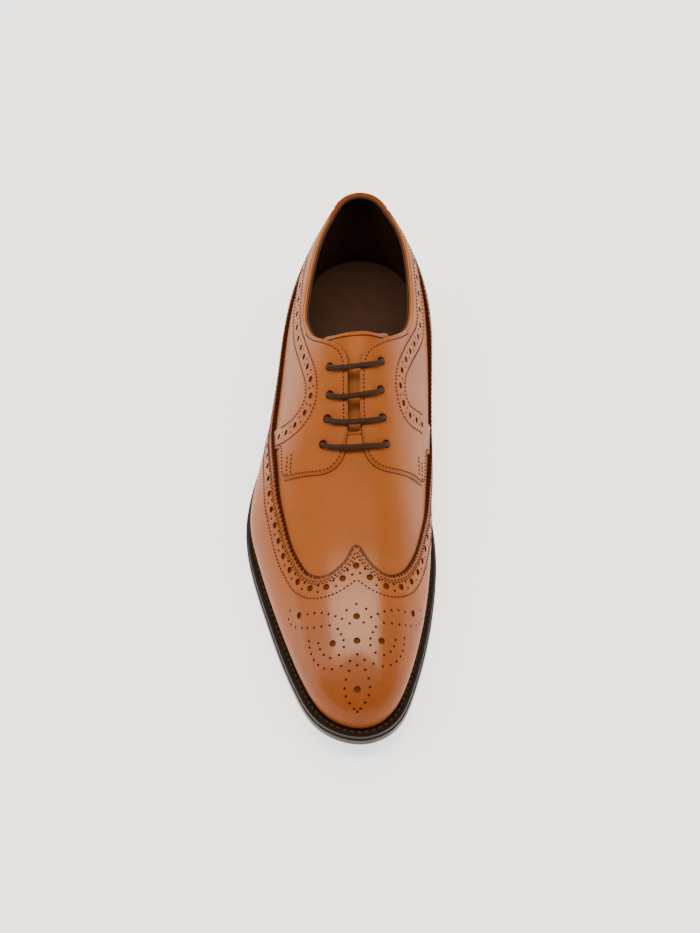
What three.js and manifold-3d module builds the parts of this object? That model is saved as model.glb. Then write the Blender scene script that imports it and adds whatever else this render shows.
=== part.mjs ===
// Longwing brogue derby, right shoe.
// Millimetres, +Z up, toe towards -Y, big-toe side towards +X.
// The origin is under the middle of the sole, on the plane that the shoe stands on.
import * as THREE from "three";
import { mergeVertices } from "three/addons/utils/BufferGeometryUtils.js";
import Module from "manifold-3d";

const wasm = await Module();
wasm.setup();

// Driving dimensions
const SOLE_LENGTH = 299;
const UPPER_LENGTH = 290.4;
const UPPER_SETBACK = 3.1;
const BALL_WIDTH = 101;
const HEEL_HEIGHT = 25;
const TOP_PIECE_THICKNESS = 6;
const HEEL_BREAST = 67;
const HEEL_TAPER = 2;
const SOLE_THICKNESS = 5;
const WELT_THICKNESS = 3;
const WELT_STEP = 0.6;
const WELT_REACH_OUT = 6;
const WELT_REACH_UNDER = 5;
const TOE_SPRING = 11;
const INSTEP_HEIGHT = 85;
const CREST_FROM_HEEL = 36;
const CREST_FROM_TOE = 30;
const UNDERCUT_HEIGHT = 18;
const COLLAR_HEIGHT = 94.5;
const UPPER_WALL = 2;
const OVERLAY_WALL = 1.2;
const TONGUE_WALL = 2.2;
const INSOLE_THICKNESS = 2.5;
const LACE_DIAMETER = 2.8;
const LACE_CLEARANCE = 0.6;
const LACE_LANE = 2.6;
const EYELET_DIAMETER = 4.2;
const THROAT_GAP = 6.4;
const GAP = 0.3;
const EDGE_GAP = 0.5;

// How finely the form is divided
const STATIONS = 40;
const CROSS_ANGLES = [0, 6, 14, 24, 36, 50, 64, 77, 90];
const INSOLE_RUNGS = STATIONS;
const HEEL_RUNGS = 14;
const LACE_SIDES = 8;

// Widths of the sole on each side of its axis, as shares of the ball width
const SOLE_OUTLINE = [
  { at: 0.0, lateral: 0.0, medial: 0.0 },
  { at: 0.015, lateral: 0.163, medial: 0.163 },
  { at: 0.055, lateral: 0.285, medial: 0.287 },
  { at: 0.12, lateral: 0.342, medial: 0.337 },
  { at: 0.2, lateral: 0.361, medial: 0.307 },
  { at: 0.29, lateral: 0.388, medial: 0.257 },
  { at: 0.37, lateral: 0.451, medial: 0.267 },
  { at: 0.44, lateral: 0.535, medial: 0.317 },
  { at: 0.5, lateral: 0.583, medial: 0.361 },
  { at: 0.56, lateral: 0.6, medial: 0.391 },
  { at: 0.64, lateral: 0.568, medial: 0.4 },
  { at: 0.74, lateral: 0.486, medial: 0.372 },
  { at: 0.825, lateral: 0.409, medial: 0.327 },
  { at: 0.905, lateral: 0.322, medial: 0.267 },
  { at: 0.955, lateral: 0.246, medial: 0.21 },
  { at: 0.986, lateral: 0.144, medial: 0.127 },
  { at: 1.0, lateral: 0.0, medial: 0.0 },
];

// Widest line of the upper on each side, as shares of the ball width
const BODY_OUTLINE = [
  { at: 0.0, lateral: 0.0, medial: 0.0 },
  { at: 0.014, lateral: 0.149, medial: 0.153 },
  { at: 0.051, lateral: 0.275, medial: 0.282 },
  { at: 0.117, lateral: 0.356, medial: 0.358 },
  { at: 0.233, lateral: 0.409, medial: 0.378 },
  { at: 0.37, lateral: 0.455, medial: 0.374 },
  { at: 0.5, lateral: 0.542, medial: 0.371 },
  { at: 0.575, lateral: 0.578, medial: 0.373 },
  { at: 0.645, lateral: 0.55, medial: 0.373 },
  { at: 0.75, lateral: 0.463, medial: 0.346 },
  { at: 0.836, lateral: 0.379, medial: 0.303 },
  { at: 0.9, lateral: 0.312, medial: 0.259 },
  { at: 0.952, lateral: 0.233, medial: 0.203 },
  { at: 0.984, lateral: 0.14, medial: 0.128 },
  { at: 1.0, lateral: 0.0, medial: 0.0 },
];

// Rise of the sole's underside: the arch as a share of the heel height, the spring of the toe spring
const SOLE_RISE = [
  { at: 0.0, arch: 1.0, spring: 0.0 },
  { at: 0.14, arch: 1.0, spring: 0.0 },
  { at: 0.24, arch: 0.88, spring: 0.0 },
  { at: 0.34, arch: 0.61, spring: 0.0 },
  { at: 0.45, arch: 0.26, spring: 0.0 },
  { at: 0.55, arch: 0.045, spring: 0.0 },
  { at: 0.61, arch: -0.02, spring: -0.02 },
  { at: 0.7, arch: 0.0, spring: -0.02 },
  { at: 0.76, arch: 0.0, spring: 0.08 },
  { at: 0.82, arch: 0.0, spring: 0.24 },
  { at: 0.9, arch: 0.0, spring: 0.56 },
  { at: 1.0, arch: 0.0, spring: 1.0 },
];

// Reach of the welt beyond the upper, as a share of its full reach, along the outline
const WELT_REACH = [
  { at: 0.0, reach: 0.36 },
  { at: 0.25, reach: 0.37 },
  { at: 0.4, reach: 0.58 },
  { at: 0.5, reach: 0.93 },
  { at: 1.0, reach: 1.0 },
];

// Crest of the last: its height above the feather as a share of the instep height, and its
// sideways place as a share of the ball width; round is the exponent of the section's shoulder
const CREST = [
  { at: 0.0, height: 1.0, side: 0.026, round: 1.9 },
  { at: 0.13, height: 0.976, side: 0.022, round: 1.85 },
  { at: 0.25, height: 0.965, side: 0.004, round: 1.7 },
  { at: 0.36, height: 0.972, side: -0.005, round: 1.55 },
  { at: 0.45, height: 0.93, side: 0.001, round: 1.5 },
  { at: 0.55, height: 0.827, side: 0.005, round: 1.53 },
  { at: 0.65, height: 0.688, side: 0.006, round: 1.63 },
  { at: 0.75, height: 0.563, side: 0.002, round: 1.8 },
  { at: 0.84, height: 0.458, side: -0.003, round: 2.0 },
  { at: 0.92, height: 0.345, side: -0.011, round: 2.15 },
  { at: 1.0, height: 0.224, side: -0.015, round: 2.3 },
];

// Lean of the side walls: a small value stands upright, a large one leans in
const LEAN = [
  { at: 0.0, lean: -0.68 },
  { at: 0.03, lean: -0.4 },
  { at: 0.06, lean: 0.5 },
  { at: 0.1, lean: 1.35 },
  { at: 0.15, lean: 1.72 },
  { at: 0.25, lean: 1.9 },
  { at: 0.33, lean: 1.8 },
  { at: 0.45, lean: 1.4 },
  { at: 0.6, lean: 1.0 },
  { at: 0.8, lean: 0.85 },
  { at: 1.0, lean: 0.72 },
];

// Height of the collar's edge as a share of the collar height
const TOPLINE = [
  { at: 0.0, height: 1.0 },
  { at: 0.062, height: 0.974 },
  { at: 0.13, height: 0.91 },
  { at: 0.199, height: 0.841 },
  { at: 0.261, height: 0.815 },
  { at: 0.309, height: 0.862 },
  { at: 0.35, height: 0.952 },
  { at: 0.377, height: 1.011 },
  { at: 0.405, height: 1.033 },
  { at: 0.446, height: 1.053 },
];

// Centre line of the lacing on the flat pattern, as a share of the ball width
const LACING_LINE = [
  { at: 0.302, side: -0.022 },
  { at: 0.419, side: -0.022 },
  { at: 0.511, side: -0.018 },
  { at: 0.559, side: -0.017 },
];
const COLLAR_END = 0.42;
const THROAT_STEPS = [0.44, 0.48, 0.518];
const THROAT_END = 0.528;

// Inner edge of the wing on the flat pattern, from the heel to the point over the toes
const WING_EDGE = [
  { at: 0.022, lateral: 0.0, medial: 0.0 },
  { at: 0.034, lateral: 0.094, medial: 0.104 },
  { at: 0.069, lateral: 0.198, medial: 0.196 },
  { at: 0.123, lateral: 0.287, medial: 0.282 },
  { at: 0.192, lateral: 0.341, medial: 0.32 },
  { at: 0.274, lateral: 0.365, medial: 0.33 },
  { at: 0.364, lateral: 0.378, medial: 0.331 },
  { at: 0.432, lateral: 0.372, medial: 0.319 },
  { at: 0.52, lateral: 0.327, medial: 0.293 },
  { at: 0.586, lateral: 0.3, medial: 0.271 },
  { at: 0.638, lateral: 0.273, medial: 0.241 },
  { at: 0.688, lateral: 0.243, medial: 0.208 },
  { at: 0.727, lateral: 0.206, medial: 0.171 },
  { at: 0.753, lateral: 0.168, medial: 0.131 },
  { at: 0.764, lateral: 0.114, medial: 0.082 },
  { at: 0.751, lateral: 0.059, medial: 0.037 },
  { at: 0.732, lateral: 0.029, medial: 0.008 },
  { at: 0.719, lateral: 0.012, medial: -0.012 },
];

// Outer edge of the facing on the flat pattern, from the heel round the side and the tab. It runs
// past the wing's edge at the leg, where the facing is cut back from the wing.
// The medial one lies further back, by a share of the upper's length.
const FACING_EDGE = [
  { at: 0.041, lateral: 0.04, medial: 0.05, back: 0.0 },
  { at: 0.055, lateral: 0.139, medial: 0.144, back: 0.0 },
  { at: 0.086, lateral: 0.223, medial: 0.218, back: 0.0 },
  { at: 0.134, lateral: 0.283, medial: 0.269, back: 0.0 },
  { at: 0.192, lateral: 0.314, medial: 0.295, back: 0.0 },
  { at: 0.247, lateral: 0.324, medial: 0.299, back: 0.0 },
  { at: 0.281, lateral: 0.315, medial: 0.286, back: 0.003 },
  { at: 0.316, lateral: 0.291, medial: 0.257, back: 0.007 },
  { at: 0.357, lateral: 0.25, medial: 0.215, back: 0.009 },
  { at: 0.398, lateral: 0.219, medial: 0.182, back: 0.01 },
  { at: 0.427, lateral: 0.209, medial: 0.173, back: 0.014 },
  { at: 0.441, lateral: 0.222, medial: 0.197, back: 0.017 },
  { at: 0.445, lateral: 0.269, medial: 0.248, back: 0.021 },
  { at: 0.439, lateral: 0.309, medial: 0.281, back: 0.022 },
  { at: 0.428, lateral: 0.36, medial: 0.31, back: 0.024 },
  { at: 0.418, lateral: 0.41, medial: 0.36, back: 0.024 },
  { at: 0.47, lateral: 0.41, medial: 0.36, back: 0.024 },
  { at: 0.48, lateral: 0.34, medial: 0.3, back: 0.024 },
  { at: 0.505, lateral: 0.3, medial: 0.272, back: 0.022 },
  { at: 0.561, lateral: 0.278, medial: 0.251, back: 0.021 },
  { at: 0.571, lateral: 0.237, medial: 0.208, back: 0.017 },
  { at: 0.58, lateral: 0.175, medial: 0.147, back: 0.01 },
  { at: 0.586, lateral: 0.12, medial: 0.091, back: 0.005 },
  { at: 0.583, lateral: 0.086, medial: 0.055, back: 0.002 },
  { at: 0.574, lateral: 0.064, medial: 0.034, back: 0.0 },
  { at: 0.563, lateral: 0.051, medial: 0.02, back: 0.0 },
  { at: 0.545, lateral: 0.046, medial: 0.013, back: 0.0 },
  { at: 0.521, lateral: 0.039, medial: 0.008, back: 0.0 },
  { at: 0.509, lateral: 0.038, medial: 0.004, back: 0.0 },
];

// Inner side of a facing's flat pattern, which lies in the open collar and throat
const FACING_INNER = [
  { at: 0.504, side: -0.018 },
  { at: 0.419, side: -0.022 },
  { at: 0.302, side: -0.015 },
  { at: 0.151, side: 0.02 },
  { at: 0.062, side: 0.01 },
];

// Back strip on the flat pattern, from the wing up over the collar
const STRIP_EDGE = [
  { at: 0.024, lateral: 0.045, medial: 0.064 },
  { at: 0.051, lateral: 0.054, medial: 0.074 },
  { at: 0.089, lateral: 0.084, medial: 0.109 },
  { at: 0.117, lateral: 0.099, medial: 0.124 },
];

// Tongue on the flat pattern, from the middle of its top edge down to its seam under the vamp
const TONGUE_EDGE = [
  { at: 0.354, lateral: 0.022, medial: -0.022 },
  { at: 0.351, lateral: 0.069, medial: 0.044 },
  { at: 0.338, lateral: 0.142, medial: 0.113 },
  { at: 0.32, lateral: 0.203, medial: 0.161 },
  { at: 0.405, lateral: 0.188, medial: 0.149 },
  { at: 0.508, lateral: 0.163, medial: 0.134 },
  { at: 0.6, lateral: 0.153, medial: 0.129 },
];
const TONGUE_RISES_FROM = 0.55;
const TONGUE_SEATED_AT = 0.585;

// Eyelets on the flat pattern, from the top pair to the bottom pair
const EYELETS = [
  { at: 0.412, lateral: 0.104, medial: 0.068, back: 0.006 },
  { at: 0.46, lateral: 0.1, medial: 0.067, back: 0.006 },
  { at: 0.499, lateral: 0.107, medial: 0.073, back: 0.0 },
  { at: 0.539, lateral: 0.12, medial: 0.085, back: 0.0 },
];

// Values that follow from the sizes
const widest = (side) => Math.max(...SOLE_OUTLINE.map((row) => row[side])) * BALL_WIDTH;
const CENTRE_X = (widest("medial") - widest("lateral")) / 2;
const CENTRE_S = SOLE_LENGTH / 2;
const SPINE_HEEL = CREST_FROM_HEEL / UPPER_LENGTH;
const SPINE_TOE = 1 - CREST_FROM_TOE / UPPER_LENGTH;
const SPINE_SOFTNESS = 0.048;
const WELT_TOP = SOLE_THICKNESS + GAP + WELT_THICKNESS;
const INSOLE_MARGIN = 4 * GAP;
const FEATHER = WELT_TOP + GAP;
const LACE_OVER = GAP + OVERLAY_WALL + LACE_DIAMETER / 2 + LACE_CLEARANCE;
const LACE_UNDER = UPPER_WALL + LACE_DIAMETER / 2 + LACE_CLEARANCE;
const TONGUE_DEPTH = LACE_UNDER + LACE_DIAMETER / 2 + LACE_CLEARANCE;
const TONGUE_SEAT_DEPTH = UPPER_WALL + GAP;

// Near the crest the flat pattern is narrower than the surface, by the quarter turn's arc.
const THROAT_HALF = THROAT_GAP / Math.PI;
const SIDES = ["lateral", "medial"];
const outward = { lateral: -1, medial: 1 };

// Curves

// Natural cubic spline through values at rising knots.
function naturalSpline(knots, values) {
  const n = knots.length;
  const second = new Array(n).fill(0);
  const scratch = new Array(n).fill(0);
  for (let i = 1; i < n - 1; i++) {
    const before = knots[i] - knots[i - 1];
    const after = knots[i + 1] - knots[i];
    const share = before / (before + after);
    const pivot = share * second[i - 1] + 2;
    second[i] = (share - 1) / pivot;
    const bend = (values[i + 1] - values[i]) / after - (values[i] - values[i - 1]) / before;
    scratch[i] = ((6 * bend) / (before + after) - share * scratch[i - 1]) / pivot;
  }
  for (let i = n - 2; i >= 0; i--) second[i] = second[i] * second[i + 1] + scratch[i];
  return (at) => {
    const u = THREE.MathUtils.clamp(at, knots[0], knots[n - 1]);
    let i = 0;
    while (i < n - 2 && u > knots[i + 1]) i++;
    const h = knots[i + 1] - knots[i];
    const a = (knots[i + 1] - u) / h;
    const b = 1 - a;
    const bend = ((a ** 3 - a) * second[i] + (b ** 3 - b) * second[i + 1]) * (h * h) / 6;
    return a * values[i] + b * values[i + 1] + bend;
  };
}

function column(rows, name, scale = 1) {
  return naturalSpline(rows.map((row) => row.at), rows.map((row) => row[name] * scale));
}

// Smooth closed curve through points, as one function of a rising parameter.
function closedCurve(points) {
  const n = points.length;
  const wrap = 5;
  const knots = [0];
  const loop = [];
  for (let i = -wrap; i <= n + wrap; i++) loop.push(points[(i + n) % n]);
  for (let i = 1; i < loop.length; i++) {
    knots.push(knots[i - 1] + Math.sqrt(loop[i].distanceTo(loop[i - 1])));
  }
  const x = naturalSpline(knots, loop.map((p) => p.x));
  const y = naturalSpline(knots, loop.map((p) => p.y));
  return { knotAt: (i) => knots[i + wrap], at: (u) => new THREE.Vector2(x(u), y(u)) };
}

// A line of points, evenly spaced, read by a share of its length.
class Track {
  constructor(points) {
    this.points = points;
    this.reach = [0];
    for (let i = 1; i < points.length; i++) {
      this.reach.push(this.reach[i - 1] + points[i].distanceTo(points[i - 1]));
    }
  }

  at(share) {
    const total = this.reach[this.reach.length - 1];
    const aim = THREE.MathUtils.clamp(share, 0, 1) * total;
    let low = 0;
    let high = this.reach.length - 1;
    while (high - low > 1) {
      const middle = (low + high) >> 1;
      if (this.reach[middle] <= aim) low = middle;
      else high = middle;
    }
    const part = (aim - this.reach[low]) / (this.reach[high] - this.reach[low] || 1);
    return this.points[low].clone().lerp(this.points[high], part);
  }

  // The same line moved sideways, towards the axis, by a distance that changes along it.
  inset(side, distance) {
    const last = this.points.length - 1;
    return new Track(this.points.map((point, i) => {
      const ahead = this.points[Math.min(i + 1, last)];
      const behind = this.points[Math.max(i - 1, 0)];
      const along = ahead.clone().sub(behind).normalize();
      const inwards = new THREE.Vector2(along.y, -along.x).multiplyScalar(-outward[side]);
      return point.clone().addScaledVector(inwards, distance(i / last));
    }));
  }
}

// The two sides of an outline table, from heel to toe. x is across, y is the distance from the heel.
function outline(rows, length, start) {
  const place = (row, side) => new THREE.Vector2(
    outward[side] * row[side] * BALL_WIDTH, start + row.at * length);
  const lateral = rows.map((row) => place(row, "lateral"));
  const medial = rows.slice(1, -1).reverse().map((row) => place(row, "medial"));
  const curve = closedCurve([...lateral, ...medial]);
  const heel = curve.knotAt(0);
  const toe = curve.knotAt(rows.length - 1);
  const heelAgain = curve.knotAt(2 * rows.length - 2);
  const steps = 1200;
  const read = (from, to) => new Track(Array.from({ length: steps + 1 },
    (_, i) => curve.at(from + (to - from) * i / steps)));
  return { lateral: read(heel, toe), medial: read(heelAgain, toe) };
}

function insetOutline(tracks, distance) {
  return {
    lateral: tracks.lateral.inset("lateral", distance),
    medial: tracks.medial.inset("medial", distance),
  };
}

// The last

const archRise = column(SOLE_RISE, "arch", HEEL_HEIGHT);
const springRise = column(SOLE_RISE, "spring", TOE_SPRING);
const weltReach = column(WELT_REACH, "reach", WELT_REACH_OUT);
const crestHeight = column(CREST, "height", INSTEP_HEIGHT);
const crestSide = column(CREST, "side", BALL_WIDTH);
const sectionRound = column(CREST, "round");
const wallLean = column(LEAN, "lean");
const toplineHeight = column(TOPLINE, "height", COLLAR_HEIGHT);
const lacingSide = column(LACING_LINE, "side", BALL_WIDTH);

const soleEdge = outline(SOLE_OUTLINE, SOLE_LENGTH, 0);
const bodyEdge = outline(BODY_OUTLINE, UPPER_LENGTH, UPPER_SETBACK);
const featherEdge = insetOutline(soleEdge, weltReach);

const shareOfUpper = (s) => (s - UPPER_SETBACK) / UPPER_LENGTH;
const stationOf = (share) => UPPER_SETBACK + share * UPPER_LENGTH;
const softPart = (v) => 0.5 * (v + Math.hypot(v, SPINE_SOFTNESS));

// Height of the sole's underside. It is flat under the ball.
function soleRise(s) {
  const at = s / SOLE_LENGTH;
  return Math.max(0, archRise(at)) + Math.max(0, springRise(at));
}

// Station of the crest that the outline's station belongs to: it stops short of heel and toe.
function spineShare(share) {
  const fromHeel = SPINE_HEEL + softPart(share - SPINE_HEEL);
  return SPINE_TOE - softPart(SPINE_TOE - fromHeel);
}

// A section line runs from the outline, at angle 0, up to the crest, at 90 degrees.
// It is a superellipse, its foot drawn in to the feather.
function bodyPoint(side, t, angle) {
  const edge = bodyEdge[side].at(t);
  const foot = featherEdge[side].at(t);
  const middle = 0.5 * (bodyEdge.lateral.at(t).y + bodyEdge.medial.at(t).y);
  const share = spineShare(shareOfUpper(middle));
  const crest = new THREE.Vector2(crestSide(share), stationOf(share));
  const level = Math.max(0, Math.cos(angle));
  const reach = level ** (1 + (wallLean(t) - 1) * level ** 2);
  const step = 0.001;
  const slope = (crestHeight(share + step) - crestHeight(share - step)) / (2 * step * UPPER_LENGTH);
  const plan = crest.clone().lerp(edge, reach);
  let rise = crestHeight(share) * Math.sin(angle) ** (2 / sectionRound(share));
  if (edge.y > crest.y) rise += slope * (plan.y - crest.y) * Math.sin(angle) ** 2;
  const drawnIn = Math.max(0, 1 - rise / UNDERCUT_HEIGHT) ** 2;
  plan.add(foot.sub(edge).multiplyScalar(drawnIn));
  return new THREE.Vector3(plan.x, plan.y, soleRise(plan.y) + FEATHER + rise);
}

// The flat pattern of the same point: the straight line from crest to outline, divided by angle.
function patternPoint(side, t, angle) {
  const edge = bodyEdge[side].at(t);
  const middle = 0.5 * (bodyEdge.lateral.at(t).y + bodyEdge.medial.at(t).y);
  const share = spineShare(shareOfUpper(middle));
  const crest = new THREE.Vector2(crestSide(share), stationOf(share));
  return crest.lerp(edge, 1 - angle / (Math.PI / 2));
}

const toPart = (x, s, z) => new THREE.Vector3(x - CENTRE_X, CENTRE_S - s, z);

// The divided form: one row for each station, from the lateral edge over the crest to the medial.
// In the first and last rows both sides are the same line.
function divideForm() {
  const rise = CROSS_ANGLES.length - 1;
  const across = 2 * rise;
  const ids = [];
  const points = [];
  const pattern = [];
  for (let i = 0; i <= STATIONS; i++) {
    const t = i / STATIONS;
    const closed = i === 0 || i === STATIONS;
    const row = [];
    for (let c = 0; c <= across; c++) {
      if (closed && c > rise) {
        row.push(row[across - c]);
        continue;
      }
      const side = c <= rise ? "lateral" : "medial";
      const angle = THREE.MathUtils.degToRad(CROSS_ANGLES[Math.min(c, across - c)]);
      const body = bodyPoint(side, t, angle);
      const flat = patternPoint(side, t, angle);
      row.push(points.length);
      points.push(toPart(body.x, body.y, body.z));
      pattern.push(toPart(flat.x, flat.y, 0));
    }
    ids.push(row);
  }
  const faces = [];
  for (let i = 0; i < STATIONS; i++) {
    for (let c = 0; c < across; c++) {
      const [a, b, d, e] = [ids[i][c], ids[i + 1][c], ids[i + 1][c + 1], ids[i][c + 1]];
      if (c < rise) faces.push([a, b, d], [a, d, e]);
      else faces.push([a, b, e], [b, d, e]);
    }
  }
  const rim = [];
  for (let i = 0; i <= STATIONS; i++) rim.push(ids[i][0]);
  for (let i = STATIONS - 1; i > 0; i--) rim.push(ids[i][across]);
  return { points, pattern, faces, rim, normals: formNormals(points, faces, rim) };
}

// Outward directions at the divided form's points. None of them points below the horizontal,
// and along the feather they are level, so that every layer ends at the same height.
function formNormals(points, faces, rim) {
  const normals = points.map(() => new THREE.Vector3());
  for (const [a, b, c] of faces) {
    const one = points[b].clone().sub(points[a]);
    const two = points[c].clone().sub(points[a]);
    const area = one.cross(two);
    for (const id of [a, b, c]) normals[id].add(area);
  }
  for (const normal of normals) {
    normal.normalize();
    normal.z = Math.max(normal.z, 0);
  }
  for (const id of rim) normals[id].z = 0;
  for (const normal of normals) normal.normalize();
  return normals;
}

const form = divideForm();

// Solids

function toSolid(geometry) {
  geometry.deleteAttribute("normal");
  geometry.deleteAttribute("uv");
  const merged = mergeVertices(geometry, 1e-5);
  return new wasm.Manifold(new wasm.Mesh({
    numProp: 3,
    vertProperties: merged.attributes.position.array,
    triVerts: Uint32Array.from(merged.index.array),
  }));
}

function toGeometry(positions, indices) {
  const geometry = new THREE.BufferGeometry();
  geometry.setAttribute("position", new THREE.Float32BufferAttribute(positions, 3));
  geometry.setIndex(indices);
  geometry.computeVertexNormals();
  return geometry;
}

function fromSolid(solid) {
  const mesh = solid.getMesh();
  return toGeometry(Array.from(mesh.vertProperties), Array.from(mesh.triVerts));
}

// The flat pattern is a sheet, bowed slightly so that every one of its facets counts.
const SHEET = 4;
const BOW = 0.002;
const bow = (x, y) => BOW * (x * x + y * y);

function patternSheet() {
  const count = form.pattern.length;
  const positions = [];
  for (const lift of [0, SHEET]) {
    for (const p of form.pattern) positions.push(p.x, p.y, bow(p.x, p.y) + lift);
  }
  const indices = [];
  for (const [a, b, c] of form.faces) {
    indices.push(a + count, b + count, c + count, a, c, b);
  }
  form.rim.forEach((a, i) => {
    const b = form.rim[(i + 1) % form.rim.length];
    indices.push(a, b, b + count, a, b + count, a + count);
  });
  return toSolid(toGeometry(positions, indices));
}

// A cutter through the flat pattern, from a closed line of plan points.
function cutter(points) {
  const shape = new THREE.Shape(points);
  const height = 200;
  const geometry = new THREE.ExtrudeGeometry(shape, { depth: height, bevelEnabled: false });
  geometry.translate(0, 0, -height / 2);
  return toSolid(geometry);
}

// Finds the facet of the pattern over a plan point, with the weights of its corners.
function locate(x, y) {
  let best = null;
  for (const [a, b, c] of form.faces) {
    const [p, q, r] = [form.pattern[a], form.pattern[b], form.pattern[c]];
    const area = (q.x - p.x) * (r.y - p.y) - (r.x - p.x) * (q.y - p.y);
    const wb = ((x - p.x) * (r.y - p.y) - (r.x - p.x) * (y - p.y)) / area;
    const wc = ((q.x - p.x) * (y - p.y) - (x - p.x) * (q.y - p.y)) / area;
    const least = Math.min(1 - wb - wc, wb, wc);
    if (best === null || least > best.least) {
      best = { least, corners: [a, b, c], weights: [1 - wb - wc, wb, wc] };
    }
    if (least >= 0) break;
  }
  return best;
}

// Puts a plan point of the pattern on the form, moved out along its direction.
function onForm(x, y, offset) {
  const { corners, weights } = locate(x, y);
  const place = new THREE.Vector3();
  corners.forEach((id, i) => {
    place.addScaledVector(form.points[id], weights[i]);
    place.addScaledVector(form.normals[id], weights[i] * offset);
  });
  return place;
}

// Lasts a cut pattern: its lower face goes to one offset from the form and its upper to another.
function lasted(sheet, inner, outer) {
  const mesh = sheet.getMesh();
  const positions = [];
  for (let i = 0; i < mesh.vertProperties.length; i += 3) {
    const [x, y, z] = mesh.vertProperties.slice(i, i + 3);
    const upperFace = z - bow(x, y) > SHEET / 2;
    const place = onForm(x, y, upperFace ? outer(x, y) : inner(x, y));
    positions.push(place.x, place.y, place.z);
  }
  return toGeometry(positions, Array.from(mesh.triVerts));
}

const even = (value) => () => value;

// Pattern lines

const onPattern = (side, row, name = side) => {
  const across = name === "side" ? row.side : outward[side] * row[name];
  const back = side === "medial" && row.back ? row.back : 0;
  const p = toPart(across * BALL_WIDTH, stationOf(row.at - back), 0);
  return new THREE.Vector2(p.x, p.y);
};

function smoothLoop(points, steps) {
  const curve = closedCurve(points);
  const line = [];
  for (let i = 0; i < points.length; i++) {
    const from = curve.knotAt(i);
    const to = curve.knotAt(i + 1);
    for (let k = 0; k < steps; k++) line.push(curve.at(from + (to - from) * k / steps));
  }
  return line;
}

// The area inside the wing's edge, less a margin.
function wingOpening(margin = 0) {
  const lateral = WING_EDGE.map((row) => onPattern("lateral", row));
  const medial = WING_EDGE.slice(1, -1).reverse().map((row) => onPattern("medial", row));
  const smooth = smoothLoop([...lateral, ...medial], 2);
  const count = smooth.length;
  return cutter(smooth.map((point, i) => {
    const along = smooth[(i + 1) % count].clone().sub(smooth[(i + count - 1) % count]).normalize();
    return point.clone().add(new THREE.Vector2(-along.y, along.x).multiplyScalar(margin));
  }));
}

// Where the collar's edge crosses a section line, as a point of the pattern.
function toplinePoint(side, t) {
  let low = 0;
  let high = Math.PI / 2;
  const above = (angle) => {
    const p = bodyPoint(side, t, angle);
    return p.z > toplineHeight(shareOfUpper(p.y));
  };
  if (!above(high)) return null;
  for (let k = 0; k < 30; k++) {
    const middle = (low + high) / 2;
    if (above(middle)) high = middle;
    else low = middle;
  }
  return patternPoint(side, t, high);
}

// The collar and throat: the collar's edge on both sides, then the slot down to its end.
function collarOpening() {
  const sides = {};
  const steps = 48;
  for (const side of SIDES) {
    const line = [];
    for (let i = 0; i <= steps; i++) {
      const point = toplinePoint(side, THROAT_STEPS[0] * i / steps);
      if (point === null || shareOfUpper(point.y) > COLLAR_END) break;
      const fromSlot = outward[side] * (point.x - lacingSide(shareOfUpper(point.y)));
      if (i > steps / 2 && fromSlot < THROAT_HALF) break;
      line.push(point);
    }
    for (const share of THROAT_STEPS) {
      const x = lacingSide(share) + outward[side] * THROAT_HALF;
      line.push(new THREE.Vector2(x, stationOf(share)));
    }
    sides[side] = line;
  }
  const end = new THREE.Vector2(lacingSide(THROAT_END), stationOf(THROAT_END));
  const loop = [...sides.lateral, end, ...sides.medial.reverse().slice(0, -1)];
  return cutter(loop.map((p) => {
    const q = toPart(p.x, p.y, 0);
    return new THREE.Vector2(q.x, q.y);
  }));
}

// A round hole in the surface, as a cutter of the pattern.
function roundHole(centre, diameter) {
  const step = 0.5;
  const base = onForm(centre.x, centre.y, 0);
  const across = onForm(centre.x + step, centre.y, 0).sub(base).divideScalar(step);
  const along = onForm(centre.x, centre.y + step, 0).sub(base).divideScalar(step);
  const width = across.length();
  const skew = across.dot(along) / width;
  const height = Math.sqrt(along.lengthSq() - skew * skew);
  const sides = 10;
  const points = [];
  for (let i = 0; i < sides; i++) {
    const turn = 2 * Math.PI * i / sides;
    const dy = diameter / 2 * Math.sin(turn) / height;
    const dx = (diameter / 2 * Math.cos(turn) - skew * dy) / width;
    const spoke = new THREE.Vector2(dx, dy);
    for (let k = 0; k < 3; k++) {
      const reached = onForm(centre.x + spoke.x, centre.y + spoke.y, 0).distanceTo(base);
      spoke.multiplyScalar(diameter / 2 / reached);
    }
    points.push(spoke.add(centre));
  }
  return cutter(points);
}

function eyeletHoles() {
  let holes = null;
  for (const row of EYELETS) {
    for (const side of SIDES) {
      const hole = roundHole(onPattern(side, row), EYELET_DIAMETER);
      holes = holes === null ? hole : holes.add(hole);
    }
  }
  return holes;
}

function stripPattern(margin) {
  const widen = (side, row) => onPattern(side, row).add(new THREE.Vector2(outward[side] * margin, 0));
  const lateral = STRIP_EDGE.map((row) => widen("lateral", row));
  const medial = STRIP_EDGE.map((row) => widen("medial", row)).reverse();
  return cutter([...lateral, ...medial]);
}

function facingPattern(side) {
  const outer = FACING_EDGE.map((row) => onPattern(side, row));
  const inner = FACING_INNER.map((row) => onPattern(side, row, "side"));
  return cutter([...outer, ...inner]);
}

// Pieces of the upper

const sheet = patternSheet();
const opening = collarOpening();
const eyelets = eyeletHoles();

function makeUpper() {
  return lasted(sheet.subtract(opening).subtract(eyelets), even(-UPPER_WALL), even(0));
}

function makeWing() {
  return lasted(sheet.subtract(wingOpening()), even(GAP), even(GAP + OVERLAY_WALL));
}

function makeFacing(side) {
  const piece = sheet.intersect(facingPattern(side))
    .intersect(wingOpening(EDGE_GAP))
    .subtract(opening)
    .subtract(eyelets)
    .subtract(stripPattern(EDGE_GAP));
  return lasted(piece, even(GAP), even(GAP + OVERLAY_WALL));
}

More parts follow.
